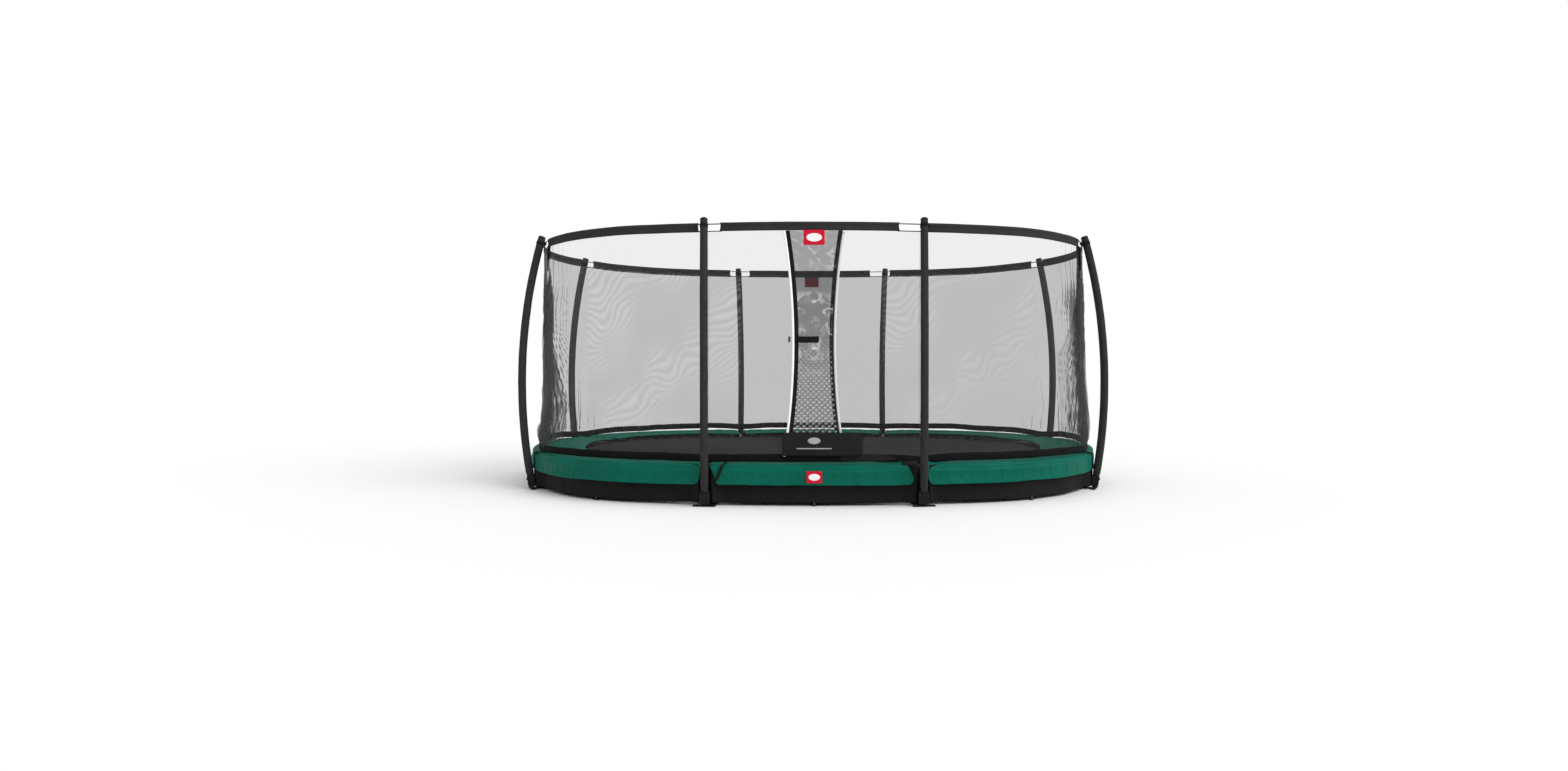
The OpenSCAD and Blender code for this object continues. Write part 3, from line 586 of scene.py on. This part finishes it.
def net_fold(name, lead, tail, top, low, share, depth, mat, seams):
    """The gathered part of an end's net: it fans out from the top of the post at lead and reaches its share of the
    bay at the height low."""
    base = hem_z(lead) + 0.015
    w, u = row(0, 1, 70), column(0, 1, 91)
    z = base + (top - base) * w + 0 * u
    reach = abs(lead - tail) * share * np.clip((top - z) / (top - low), 0.015, 1.0) ** 0.95
    s = lead + np.sign(tail - lead) * (0.012 + reach * u)
    wide = smooth(reach / 0.25) * smooth(np.minimum(u, 1 - u) / 0.06)
    wave = np.sin(math.tau * 6.3 * u + 2.0 * ripples(u, w * 0.4, 141, 0.7))
    wave = wave + 0.5 * np.sin(math.tau * 13.5 * u + 2.4 * ripples(u, w * 0.5, 142, 0.6))
    off = net_push(s, z) - 0.012 - depth + depth * wave * wide
    pts = on_rim(s, off, z)
    sh = Shape()
    sh.grid(pts)
    o = sh.piece(f"safety_net_pleat_{name}", mat, "net_mesh", f"net_{name}")
    sh = Shape()
    for fold, first, last, radius in seams:
        line = on_rim(s[fold], off[fold] - 0.004, z[fold])[first:last]
        grow = np.sin(math.pi * np.linspace(0.02, 0.98, len(line))) ** 0.35
        sh.tube(line, radius * grow, 8)
    sh.piece(f"pleat_seams_{name}", "hem", "net_mesh", f"net_{name}")


FLAP_TOP, FLAP_LOW, WAIST_Z, EDGE_HIGH, ENTRANCE_FOOT = 1.951, 0.345, 1.18, 1.948, 0.3625
EDGE_TOP, EDGE_WAIST, EDGE_FOOT = 0.203, 0.140, 0.205


def edge_x(z):
    """Half distance from the middle to a flap's free edge: one arc through foot, waist and top."""
    top = np.array([EDGE_TOP - EDGE_WAIST, EDGE_HIGH - WAIST_Z])
    foot = np.array([EDGE_FOOT - EDGE_WAIST, FLAP_LOW - WAIST_Z])
    det = 2 * (top[0] * foot[1] - top[1] * foot[0])
    cx = (top @ top * foot[1] - foot @ foot * top[1]) / det
    cz = (foot @ foot * top[0] - top @ top * foot[0]) / det
    r = math.hypot(cx, cz)
    return EDGE_WAIST + cx - np.sqrt(r * r - (np.asarray(z, float) - WAIST_Z - cz) ** 2)


def front_y(x, off):
    return -(np.sqrt((SIDE_R + off) ** 2 - np.asarray(x, float) ** 2) - SIDE_C)


FLAPS = {  # sign of the side it comes from, its plane, and the body it slides with
    "outer": (1, -1.5215, "outer_flap"),
    "inner": (-1, -1.4915, "inner_flap"),
}


def flap_surface(which, k, z, seed, part):
    """Points of a flap's net: the fixed side from its post to the other flap's edge, then on to its own edge."""
    side, plane, _ = FLAPS[which]
    e = edge_x(z)
    a, b = (0.7645, e - 0.012) if part == "side" else (e - 0.012, -e + 0.006)
    x = a + (b - a) * k
    t = net_share(z)
    near = smooth((0.62 - x) / 0.34)
    y = front_y(x, net_push(x * side + 0 * z, z)) * (1 - near)
    crumple = ripples(x * 1.6, z * 0.9, seed, 0.17, 3) * 0.0050 + ripples(x * 2.2, z, seed + 1, 0.07, 2) * 0.0022
    calm = smooth((x + e) / 0.06) * smooth(t / 0.05) * smooth((1 - t) / 0.03)
    calm = calm * (0.3 + 0.7 * smooth((0.22 - x) / 0.12))
    y = y + near * (plane + crumple * calm)
    return points(x * side, y, z + 0 * x)


def blend_flap(o):
    """Bakes the cloth's placement into its mesh."""
    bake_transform(o)


def flaps():
    for which, seed in (("outer", 21), ("inner", 33)):
        side, plane, body = FLAPS[which]
        post_side = "right" if which == "outer" else "left"
        parts = (("side", 60, 0.60, hem_z(0.45 * side) + 0.008, "net", f"net_front_{post_side}_of_entrance"),
                 ("entrance", 40, 0.33, ENTRANCE_FOOT, "flap", f"{which}_flap_net"))
        for part, n, width, foot, look, stands_for in parts:
            z = foot + (FLAP_TOP + 0.003 - foot) * row(0, 1, 150)
            sh = Shape()
            sh.grid(flap_surface(which, column(0, 1, n), z + 0 * column(0, 1, n), seed, part), flip=which == "inner")
            o = sh.piece(f"{which}_{part}_net", look, "net_mesh", stands_for, body=None)
            blend_flap(o)
        # the tape along the free edge, folded over the net and stitched twice
        z, w = column(FLAP_LOW, 1.950 if which == "outer" else 1.958, 130), row(0, 1, 9)
        x = -edge_x(z) + 0.030 * w
        lift = 0.0022 * (1 - (2 * w - 1) ** 8) + 0.0004 * ripples(z, x, seed + 5, 0.05)
        for q in (0.14, 0.86):
            lift = lift - 0.0006 * bell(w, q, 0.035)
        front, back = (points(x * side, plane - 0.0005 + y, z + 0 * x)[:, ::side] for y in (-lift, lift * 0.6))
        sh = Shape()
        sh.slab(front, back)
        sh.piece(f"{which}_edge_tape", "webbing", "black_webbing", f"{which}_flap_tape", body=body)


def net_hems():
    for i in range(8):
        s0, s1 = bay(i)
        s, w = column(s0, s1, int((s1 - s0) / 0.012)), row(0, 1, 9)
        z = hem_z(s) + HEM_H * w + 0.0015 * ripples(s, s * 0, 12, 0.2) * w
        off = net_push(s, hem_z(s) + 0.03 + 0 * w) + 0.0015 * ripples(s, z, 10, 0.09)
        half = 0.0024 * (1 - (2 * w - 1) ** 8 * 0.8) - 0.0006 * bell(w, 0.88, 0.04)
        rim_slab(s, off, half, z).piece(f"hem_{BAYS[i]}", "hem", "black_webbing", "net_hem")


# how far the band stays open before and after each post, along the outline
WINDOWS = [(0.072, 0.092), (0.155, 0.060), (0.075, 0.075), (0.085, 0.080), (0.070, 0.140), (0.098, 0.108),
           (0.085, 0.085), (0.075, 0.075)]


def top_bands():
    mid, half = NET_TOP - BAND_H / 2, BAND_H / 2
    for i in range(8):
        s0, s1 = bay(i)
        w, k = row(-1, 1, 15), column(0, 1, int((s1 - s0) / 0.012))
        lean = 0.004 * w - 0.010 * w**8
        s = (s0 + WINDOWS[i][1] + lean) * (1 - k) + (s1 - WINDOWS[(i + 1) % 8][0] - lean) * k
        taller = 0.003 + 0.006 * smooth((front_distance(s) - QUARTER) / 0.8)
        low = (1 - w) / 2 * (0.002 if i else -0.002)  # in front the flaps' rods pass under the edge
        z = mid + w * half + (1 + w) / 2 * taller - low + (0.0016 if i else 0.0005) * ripples(s, s * 0, 14, 0.5)
        roll = 0.0062 * bell(w, 0.62, 0.42) + 0.0032 * bell(w, -0.55, 0.5)
        half_t = np.maximum(roll * np.sqrt(np.clip(1 - w**6, 0, 1)), 0.0009) + 0.0006 * ripples(s, z, 15, 0.06)
        half_t = half_t - 0.0010 * bell(w, -0.12, 0.07)
        off = -0.028 + 0.0012 * ripples(s, z * 0.6, 16, 0.16, 3)
        rim_slab(s, off, half_t, z).piece(f"band_{BAYS[i]}", "band", "black_webbing", "top_band")
    # the lower edge cord that shows in the windows
    sh = Shape()
    for p, (before, after) in zip(POST_S, WINDOWS):
        s = np.linspace(p - before - 0.01, p + after + 0.01, 19)
        sh.tube(on_rim(s, -0.029 + 0 * s, NET_TOP - BAND_H + 0.003 + 0 * s), 0.0035, 8)
    sh.piece("window_cords", "webbing", "black_webbing", "top_band")


TIE_Z = 1.985
STRIP_FOOT, STRIP_TOP = 1.765, 1.962


def ties():
    sh = Shape()
    for i, s0 in enumerate(POST_S):
        # strap from the ring round the post's head
        post = post_point(i, np.array([TIE_Z]))
        ring = around(post, SLEEVE_R[i] + 0.0012, row(-2.2, 2.2, 28))[0]
        x, y, nx, ny = rim(s0, -0.028)
        anchor = np.array([x, y, TIE_Z])
        lead = anchor + (ring[0] - anchor) * column(0.0, 0.86, 6)
        back = ring[-1] + (anchor - ring[-1]) * column(0.14, 1.0, 6)
        sh.strap(np.concatenate([lead, ring, back]), post[1][0], 0.024, 0.0018)
        # strap from the hem down between the pads to the frame
        d = hem_z(np.array([s0]))[0]
        zz = np.linspace(d + 0.05, 0.294, 12)
        path = on_rim(s0 + 0 * zz, NET_OFF + 0.004 - 0.010 * np.linspace(0, 1, 12), zz)
        sh.strap(path, np.array([-ny, nx, 0]), 0.026, 0.002)
    sh.piece("post_ties", "webbing", "black_webbing", "net_ties")
    # strips that strengthen the net under the band at the third and eighth posts
    for i, inward in ((2, -1), (7, 1)):
        s0 = POST_S[i]
        z, w = row(STRIP_FOOT, STRIP_TOP, 20), column(0, 1, 9)
        s = s0 + inward * (0.004 + w * (0.050 + 0.075 * smooth((z - STRIP_FOOT) / 0.2)))
        off = net_push(s, z + 0 * s)
        if inward < 0:
            s, off = s[::-1], off[::-1]
        rim_slab(s, off, 0.0022, z).piece(f"net_strip_{i + 1}", "webbing", "black_webbing")


sleeves()
caps()
net_bays()
net_fold("left", POST_S[7], POST_S[6], 1.80, 0.60, 0.70, 0.020, "pleat_net",
         [(90, 0, 70, 0.0040), (70, 14, 66, 0.0026), (48, 0, 44, 0.0024), (30, 0, 50, 0.0022), (80, 0, 24, 0.0022)])
net_fold("right", POST_S[2], POST_S[3], 1.92, 1.10, 0.74, 0.011, "net",
         [(24, 0, 22, 0.0022), (44, 0, 16, 0.0020), (64, 0, 12, 0.0020)])
flaps()
net_hems()
top_bands()
ties()


# ---------------------------------------------------------------- pads
def pad_profile(k, foot, top, crown):
    """Outer face of a pad's section at k = 0 (inner edge) to 1 (valance's foot), as offset and z. Crown is how much
    higher the part over the frame tube lies than the outer edge."""
    r = 0.020
    flat, arc, drop = (PAD_OUT - r) - PAD_IN, math.pi / 2 * r, (top - r) - foot
    d = k * (flat + arc + drop)
    a = np.clip((d - flat) / r, 0, math.pi / 2)
    off = np.where(d < flat, PAD_IN + d, PAD_OUT - r + r * np.sin(a))
    level = top + crown * (1 - smooth((off + 0.005) / 0.06))
    z = np.where(d < flat, level, np.where(d < flat + arc, top - r + r * np.cos(a), top - r - (d - flat - arc)))
    return off, z


# how much each pad's two ends are set in, at the top and at the valance's foot
PAD_ENDS = [((0.002, 0.042), (0.088, 0.038))] + [((0.002, 0.006), (0.004, 0.010))] * 7


def pads():
    made = []
    for i in range(8):
        s0, s1 = bay(i, PAD_GAP)
        u = column(0, 1, int((s1 - s0) / 0.0135))
        k = row(0, 1, 46) + 0 * u
        down = smooth((k - 0.74) / 0.26)
        (a0, b0), (a1, b1) = PAD_ENDS[i]
        begin, stop = s0 + a0 + (b0 - a0) * down, s1 - a1 - (b1 - a1) * down
        s = begin + (stop - begin) * u
        end = np.minimum(s - begin, stop - s)[:, :1]
        rr = 0.030 if i == 0 else 0.048
        lift = rr - np.sqrt(np.clip(rr**2 - np.clip(rr - end, 0, rr) ** 2, 0, None))
        line = s[:, :1]
        foot = VALANCE_FOOT + 0.004 + lift + 0.004 * ripples(line, line * 0, 60 + i, 0.5)
        top = PAD_TOP - 0.004 - sag(line) - pad_droop(line)
        off, z = pad_profile(k, foot, top, np.clip(FRAME_TOP - top, 0, None))
        # the inner edge rolls over, the slab is foam and the valance a doubled sheet
        edge = np.sqrt(np.clip(1 - ((PAD_IN + 0.020 - off) / 0.020).clip(0, 1) ** 2, 0.02, 1))
        slab = off < PAD_OUT - 0.0205
        front_z = np.where(slab, z - (1 - edge) * 0.012, z)
        back_off = np.minimum(off, PAD_OUT - 0.009)
        thick = np.clip(z - 0.2915, 0.006, 0.026)
        back_z = np.where(slab, front_z - thick * (0.35 + 0.65 * edge), np.minimum(z, top - 0.010))
        sh = Shape()
        a, b = sh.slab(on_rim(s, off, front_z), on_rim(s, back_off, back_z))
        o = sh.make(f"edge_pad_{BAYS[i]}", M["green"], body=None)
        made.append((o, i, a, b, s, k, off))
    return made


SEAM = 0.83  # where along its section the pad's top joins the valance
HOLD_COL = 20  # the row of points that rests on the frame
PAD_CLOTH = {"quality": 6, "mass": 0.3, "tension_stiffness": 12, "compression_stiffness": 12, "shear_stiffness": 4,
             "bending_stiffness": 2.0, "use_pressure": True, "uniform_pressure_force": 4.0,
             "vertex_group_mass": "held", "pin_stiffness": 1.0, "shrink_min": -0.010}
FRAMES, MOST_SWELL = 20, 0.010


def vertices(mesh):
    co = np.zeros(len(mesh.vertices) * 3, np.float32)
    mesh.vertices.foreach_get("co", co)
    return co.reshape(-1, 3)


def inflate(made):
    """Cloth simulation of the pads: they swell between the rows that are sewn or rest on the frame."""
    jobs = []
    for o, i, a, b, s, k, off in made:
        seam = int(np.argmin(np.abs(k[0] - SEAM)))
        held = np.concatenate([a[0], a[-1], a[:, 0], a[:, -1], a[:, seam], a[:, HOLD_COL], b.ravel()])
        o.vertex_groups.new(name="held").add(np.unique(held).tolist(), 1.0, "REPLACE")
        mod = o.modifiers.new("cloth", "CLOTH")
        for key, value in PAD_CLOTH.items():
            setattr(mod.settings, key, value)
        mod.settings.effector_weights.gravity = 0
        mod.collision_settings.use_collision = False
        mod.point_cache.frame_start, mod.point_cache.frame_end = 1, FRAMES
        jobs.append((o, vertices(o.data)))
    for f in range(1, FRAMES + 1):
        scene.frame_set(f)
    dg = bpy.context.evaluated_depsgraph_get()
    for o, rest in jobs:
        move = vertices(o.evaluated_get(dg).data) - rest
        far = np.linalg.norm(move, axis=1, keepdims=True)
        move *= np.minimum(1, MOST_SWELL / np.maximum(far, 1e-9))
        o.modifiers.clear()
        o.data.vertices.foreach_set("co", (rest + move).astype(np.float32).ravel())
        o.data.update()
    scene.frame_set(1)


pad_list = pads()
inflate(pad_list)


def finish_pads():
    """Folds and a groove along the seam, then each pad's last smoothing and its place in the part."""
    for o, i, a, b, s, k, off in pad_list:
        co = vertices(o.data)
        _, _, nx, ny = rim(s, off)
        sv, kv = s.ravel(), k.ravel()
        on_valance = smooth((kv - 0.73) / 0.05)
        wave = 0.0045 * ripples(sv, kv * 0.4, 70 + i, 0.30, 3) * on_valance
        low = 0.3 + 0.7 * smooth((kv - 0.8) / 0.2)
        wave += 0.0022 * ripples(sv * 0.5, kv * 1.2, 80 + i, 0.05, 2) * on_valance * low
        wave += 0.0016 * ripples(sv, kv * 0.6, 90 + i, 0.12, 3) * (1 - on_valance)
        groove = -0.0028 * bell(kv, SEAM, 0.006)
        out = points(nx.ravel(), ny.ravel(), 0 * sv)
        co[a.ravel()] += out * ((wave + groove) * on_valance)[:, None]
        co[a.ravel(), 2] += wave * (1 - on_valance)
        co[b.ravel()] += out * (wave * on_valance)[:, None]
        o.data.vertices.foreach_set("co", co.ravel())
        o.modifiers.new("round", "SUBSURF").render_levels = 1
        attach(o, "frame")
        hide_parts(f"pad_{BAYS[i]}")


finish_pads()


# ---------------------------------------------------------------- skirt
def skirts():
    for i in range(8):
        s0, s1 = bay(i, SKIRT_GAP)
        s, w = column(s0, s1, int((s1 - s0) / 0.014)), row(0, 1, 22)
        z = SKIRT_FOOT + 0.003 * ripples(s, s * 0, 30 + i, 0.4) + (SKIRT_TOP - SKIRT_FOOT) * w
        free = 1 - w
        d, _ = post_distance(s)
        off = SKIRT_OFF - 0.0015 + 0.046 * smooth((0.125 - d) / 0.08)
        off = off + 0.006 * ripples(s, z * 0.5, 31 + i, 0.34, 3) * (0.25 + 0.75 * free)
        off = off + 0.003 * ripples(s * 0.7, z, 131 + i, 0.09, 2) * free
        o = rim_slab(s, off, 0.0007, z).piece(f"skirt_{BAYS[i]}", "skirt", "black_skirt", "skirt")


skirts()


def mid_feet():
    """The small feet under the frame in the middle of each bay."""
    for i in range(8):
        s = sum(bay(i)) / 2
        z = np.array([0.0, 0.001, 0.004, 0.009, 0.012, 0.016, 0.030, 0.034])
        r = np.array([0.013, 0.0150, 0.0165, 0.0165, 0.0140, 0.0105, 0.0100, 0.0085])
        sh = Shape()
        sh.tube(on_rim(s + 0 * z, 0.026 + 0 * z, z), r, 20)
        sh.piece(f"mid_foot_{BAYS[i]}", "plastic", "black_skirt")


def pad_tie():
    """A strap from the net's hem over the left end of the front pad."""
    stops = np.array([(-0.612, -0.030, 0.3100), (-0.620, 0.000, 0.3090), (-0.628, 0.030, 0.3030),
                      (-0.635, 0.062, 0.2965), (-0.640, 0.081, 0.2905), (-0.644, 0.0865, 0.277),
                      (-0.652, 0.0875, 0.255), (-0.664, 0.0885, 0.225), (-0.676, 0.0890, 0.197),
                      (-0.690, 0.0880, 0.172)])
    k = np.linspace(0, len(stops) - 1, 55)
    line = np.stack([np.interp(k, np.arange(len(stops)), stops[:, c]) for c in range(3)], -1)
    soft = np.array([line[max(j - 3, 0): j + 4].mean(0) for j in range(len(line))])
    down = smooth((np.linspace(0, 1, len(soft)) - 0.3) / 0.3)[:, None]
    across = np.array([0.97, 0.05, 0.0]) * (1 - down) + np.array([0.93, 0.05, -0.36]) * down
    sh = Shape()
    sh.strap(on_rim(soft[:, 0], soft[:, 1], soft[:, 2]), across, 0.020, 0.0022, 0.0006)
    sh.piece("front_pad_tie", "webbing", "black_webbing")


def corner_cover():
    """The flap of cover cloth that closes the frame tube between the front pad and the right post."""
    off = np.array([-0.075, -0.055, -0.030, 0.0, 0.022, 0.038, 0.045, 0.047, 0.047])
    z = np.array([0.3045, 0.3065, 0.3072, 0.3065, 0.3025, 0.2930, 0.2790, 0.2600, 0.2380])
    k = np.linspace(0, 8, 41)
    path = on_rim(POST_S[1] - 0.082 + 0 * k, np.interp(k, np.arange(9), off), np.interp(k, np.arange(9), z))
    sh = Shape()
    sh.strap(path, (0.985, 0.17, 0), 0.112, 0.0018, 0.0006)
    sh.piece("corner_cover_front", "skirt", "black_skirt")


mid_feet()
pad_tie()
corner_cover()


# ---------------------------------------------------------------- mat, border and springs
def mat_z(x, y):
    return MAT_TOP - 0.003 - 0.010 * np.exp(-((x / 1.3) ** 2 + (y / 0.8) ** 2)) + 0.0012 * ripples(x, y, 17, 0.7)


def mat():
    x1, y1, _, _ = rim(column(0, ROUND, 360, endpoint=False), MAT_OFF)
    k = row(0, 1, 40)
    x, y = x1 * 0.42 + x1 * 0.58 * k, y1 * k
    sh = Shape()
    sh.grid(points(x, y, mat_z(x, y)), wrap=True)
    sh.uv[-1] = np.concatenate(sh.v)[np.array(sh.f).ravel()][:, :2]
    o = sh.make("jumping_mat", M["mat"], body="mat_bed", merge=True)
    thick = o.modifiers.new("cloth", "SOLIDIFY")
    thick.thickness, thick.offset = 0.0025, 0
    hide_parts("mat")
    # border webbing with two rows of stitches
    s, w = column(0, ROUND, 720, endpoint=False), row(0, 1, 9)
    x, y, _, _ = rim(s + 0 * w, MAT_OFF - BORDER_W * (1 - w) + 0 * s)
    zc = mat_z(x, y)
    lift = 0.0032 * (1 - 0.6 * (2 * w - 1) ** 8) + 0.0004 * ripples(x, y, 18, 0.06)
    for q in (0.12, 0.5, 0.88):
        lift = lift - 0.0006 * bell(w, q, 0.03)
    sh = Shape()
    sh.slab(points(x, y, zc + lift)[:, ::-1], points(x, y, zc - 0.0028)[:, ::-1], wrap=True)
    sh.piece("mat_edge_webbing", "webbing", "black_webbing", "mat_border", body="mat_bed")


mat()


def quarter_point(d, off):
    """Point and normal angle at a distance along one quarter of the line at an offset, from the Y axis."""
    side = (SIDE_R + off) * JOIN
    if d < side:
        a = math.pi / 2 - d / (SIDE_R + off)
        return (SIDE_R + off) * math.cos(a), (SIDE_R + off) * math.sin(a) - SIDE_C, a
    a = math.pi / 2 - JOIN - (d - side) / (END_R + off)
    return END_C + (END_R + off) * math.cos(a), (END_R + off) * math.sin(a), a


FIRST, LAST = 0.0275, 0.219  # where a spring's two hooks are, outward from the mat's edge
COIL_R, WIRE_R, TURNS, PER_QUARTER = 0.0105, 0.0016, 26, 24


def springs():
    """Close-wound coils with a hook at each end, from the mat's wire rings to the frame tube."""
    length = (SIDE_R + MAT_OFF) * JOIN + (END_R + MAT_OFF) * (math.pi / 2 - JOIN)
    coil0, coil1 = FIRST + 0.022, LAST - 0.022
    t = np.linspace(0, 1, TURNS * 9 + 1)
    ang = math.tau * TURNS * t
    coil = points(coil0 + (coil1 - coil0) * t, COIL_R * np.cos(ang), COIL_R * np.sin(ang))
    inner = [(FIRST - 0.004, 0, 0.005), (FIRST + 0.003, 0, 0.006), (FIRST + 0.010, 0, 0.004),
             (FIRST + 0.017, COIL_R * 0.5, 0.0), (coil0 - 0.001, COIL_R * 0.95, -0.001)]
    outer = [(coil1 + 0.001, COIL_R * 0.95, -0.001), (LAST - 0.015, COIL_R * 0.5, 0.0),
             (LAST - 0.008, 0, 0.004), (LAST - 0.002, 0, 0.006), (LAST, 0, 0.003)]
    line = np.concatenate([inner, coil, outer])
    places = [(sx, sy, i) for sx in (-1, 1) for sy in (-1, 1) for i in range(PER_QUARTER)]
    for number, (sx, sy, i) in enumerate(places, 1):
        px, py, a = quarter_point(length * (i + 0.5) / PER_QUARTER, MAT_OFF)
        out = np.array([math.cos(a) * sx, math.sin(a) * sy, 0])
        side = np.array([-out[1], out[0], 0])
        base = np.array([px * sx, py * sy, MAT_TOP - 0.002])
        sh = Shape()
        sh.tube(base + line[:, :1] * out + line[:, 1:2] * side + line[:, 2:] * np.array([0, 0, 1.0]), WIRE_R, 5,
                ref=(0.3, 0.2, 1))
        o = sh.make(f"spring_{number:02d}", M["spring"], body=None)
        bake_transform(o)
        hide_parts("springs")


springs()


# ---------------------------------------------------------------- entrance details
STRAP_LEFT, STRAP_RIGHT, STRAP_Y = -0.128, 0.034, -1.5288
TOGGLE_X, TOGGLE_Y, TOGGLE_HALF = -0.176, -1.524, 0.0205
PANEL_Y, PANEL_LEFT, PANEL_FOOT, PANEL_SIZE = -1.5355, -0.226, 0.350, (0.572, 0.166)


def disc(rings):
    """Points of a disc of radius 1, ring by ring."""
    a, r = column(0, math.tau, 40, endpoint=False), row(0.02, 1, rings)
    return r * np.cos(a), r * np.sin(a)


def printed(sh, name, ink, slot, thick, **how):
    """A thin layer of print."""
    o = sh.piece(name, ink, slot, **how)
    o.modifiers.new("ink", "SOLIDIFY").thickness = thick
    return o


def entrance():
    # the closing strap, sewn at its right end, with two rows of stitches
    x = np.linspace(STRAP_LEFT, STRAP_RIGHT, 40)
    path = points(x, STRAP_Y - 0.0015 * np.sin((x + 0.13) * 19), WAIST_Z - 0.0025 * np.sin((x + 0.13) * 17))
    sh = Shape()
    sh.strap(path, (0, 0, 1), 0.045, 0.0026)
    for q in (-0.0165, 0.0165):
        sh.tube((path + (0, -0.0014, q))[2:-2], 0.0006, 5)
    sh.piece("fastening_strap", "webbing", "black_webbing", "closing_strap", body="latch")
    # the toggle beyond the rod
    prof = np.linspace(-1, 1, 21)
    r = 0.0072 * (1 - np.abs(prof) ** 5) ** 0.4 * (1 - 0.22 * bell(prof, 0, 0.25)) + 0.0008
    path = points(TOGGLE_X + 0 * prof, TOGGLE_Y + 0 * prof, WAIST_Z + prof * TOGGLE_HALF)
    sh = Shape()
    sh.tube(path, r, 24)
    sh.piece("strap_end_toggle", "plastic", "black_plastic", "strap_toggle", body="outer_flap")
    # black panel across the foot of the outer flap
    k, w = column(0, 1, 60), row(0, 1, 22)
    x = PANEL_LEFT + PANEL_SIZE[0] * k + 0.004 * w
    z = PANEL_FOOT + PANEL_SIZE[1] * w + 0.002 * ripples(x, 0 * x, 51, 0.3)
    y = PANEL_Y + 0.0020 * ripples(x, z, 52, 0.13, 2) + 0.012 * smooth((x - 0.2) / 0.2)
    front = points(x, y - 0.0009, z)
    sh = Shape()
    sh.slab(front, front + np.array([0, 0.0018, 0]))
    o = sh.piece("outer_flap_foot_panel", "panel", "black_webbing", "outer_flap_tape", body=None)
    blend_flap(o)


def panel_prints():
    """A plain oval and a plain bar on the foot panel."""
    sh = Shape()
    u, v = disc(6)
    idx = sh.grid(points(0.045 * u, PANEL_Y - 0.0033 + 0 * u, 0.458 + 0.024 * v), wrap=True)
    sh.cap(idx[:, 0], flip=True)
    sh.grid(points(column(-0.125, 0.125, 40), PANEL_Y - 0.0033, row(0.399, 0.407, 4)))
    blend_flap(printed(sh, "foot_panel_print", "print_grey", "black_webbing", 0.0005, body=None))


entrance()
panel_prints()


def label(name, centre, width, height, face, bend=0.0):
    """A sewn label with a plain oval print. face is the sign of the side along Y that it's read from."""
    def on_label(k, w, lift=0.0):
        bulge = bend * (1 - k * k) * (0.4 + 0.6 * (1 - w) / 2)
        y = centre[1] + face * (bulge + 0.0008 * ripples(k * 3, w * 3, 55, 2.0) + lift)
        return points(centre[0] - k * width / 2 * face, y, centre[2] + w * height / 2)

    front = on_label(column(-1, 1, 25), row(-1, 1, 19))
    thick = np.array([0, face * 0.0007, 0])
    sh = Shape()
    sh.slab(front + thick, front - thick)
    sh.piece(name, "red", "red_label", "labels")
    u, v = disc(8)
    sh = Shape()
    idx = sh.grid(on_label(0.74 * u, 0.56 * v, 0.0012), wrap=True)
    sh.cap(idx[:, 0], flip=True)
    printed(sh, name + "_print", "white", "red_label", 0.0006)


label("label_front_band", (0, -1.5342, 1.900), 0.150, 0.106, -1, 0.0008)
label("label_back_band", (0, 1.5342, 1.900), 0.150, 0.106, 1, 0.0008)
label("label_front_pad", (0, -1.6325, 0.211), 0.110, 0.084, -1, 0.001)

# ---------------------------------------------------------------- stage, light and camera
scene.view_settings.view_transform = "Standard"
world = bpy.data.worlds.new("studio")
scene.world = world
world.use_nodes = True
wt = world.node_tree
wt.nodes["Background"].inputs[0].default_value = (1, 1, 1, 1)
seen = node(wt, "ShaderNodeLightPath").outputs["Is Camera Ray"]
wt.links.new(maths(wt, "MULTIPLY_ADD", seen, 0.38, 0.62), wt.nodes["Background"].inputs[1])

sh = Shape()
g = np.linspace(-60, 60, 13)
gx, gy = np.meshgrid(g, g, indexing="ij")
sh.grid(points(gx, gy, 0 * gx - 0.0005))
floor_mat, ft, fs = start("studio_floor", 0.9)
fs.inputs["Base Color"].default_value = (0.815, 0.815, 0.815, 1)
floor = sh.make("studio_floor", floor_mat, body=None)


def sun(name, direction, angle, strength):
    d = bpy.data.lights.new(name, "SUN")
    d.angle, d.energy = math.radians(angle), strength
    o = bpy.data.objects.new(name, d)
    o.rotation_euler = (-Vector(direction)).to_track_quat("-Z", "Y").to_euler()
    scene.collection.objects.link(o)


sun("key", (0.78, -0.42, 0.72), 50, 2.2)
sun("top", (0.0, -0.1, 1.0), 120, 0.6)

cam = bpy.data.cameras.new("camera")
cam.lens, cam.sensor_width, cam.shift_x = 19.38, 36, -0.0147
cam.clip_end = 200
camera = bpy.data.objects.new("camera", cam)
camera.location = (-0.05, -7.526, 0.9653)
camera.rotation_euler = (math.radians(88.914), 0, 0)
scene.collection.objects.link(camera)
scene.camera = camera
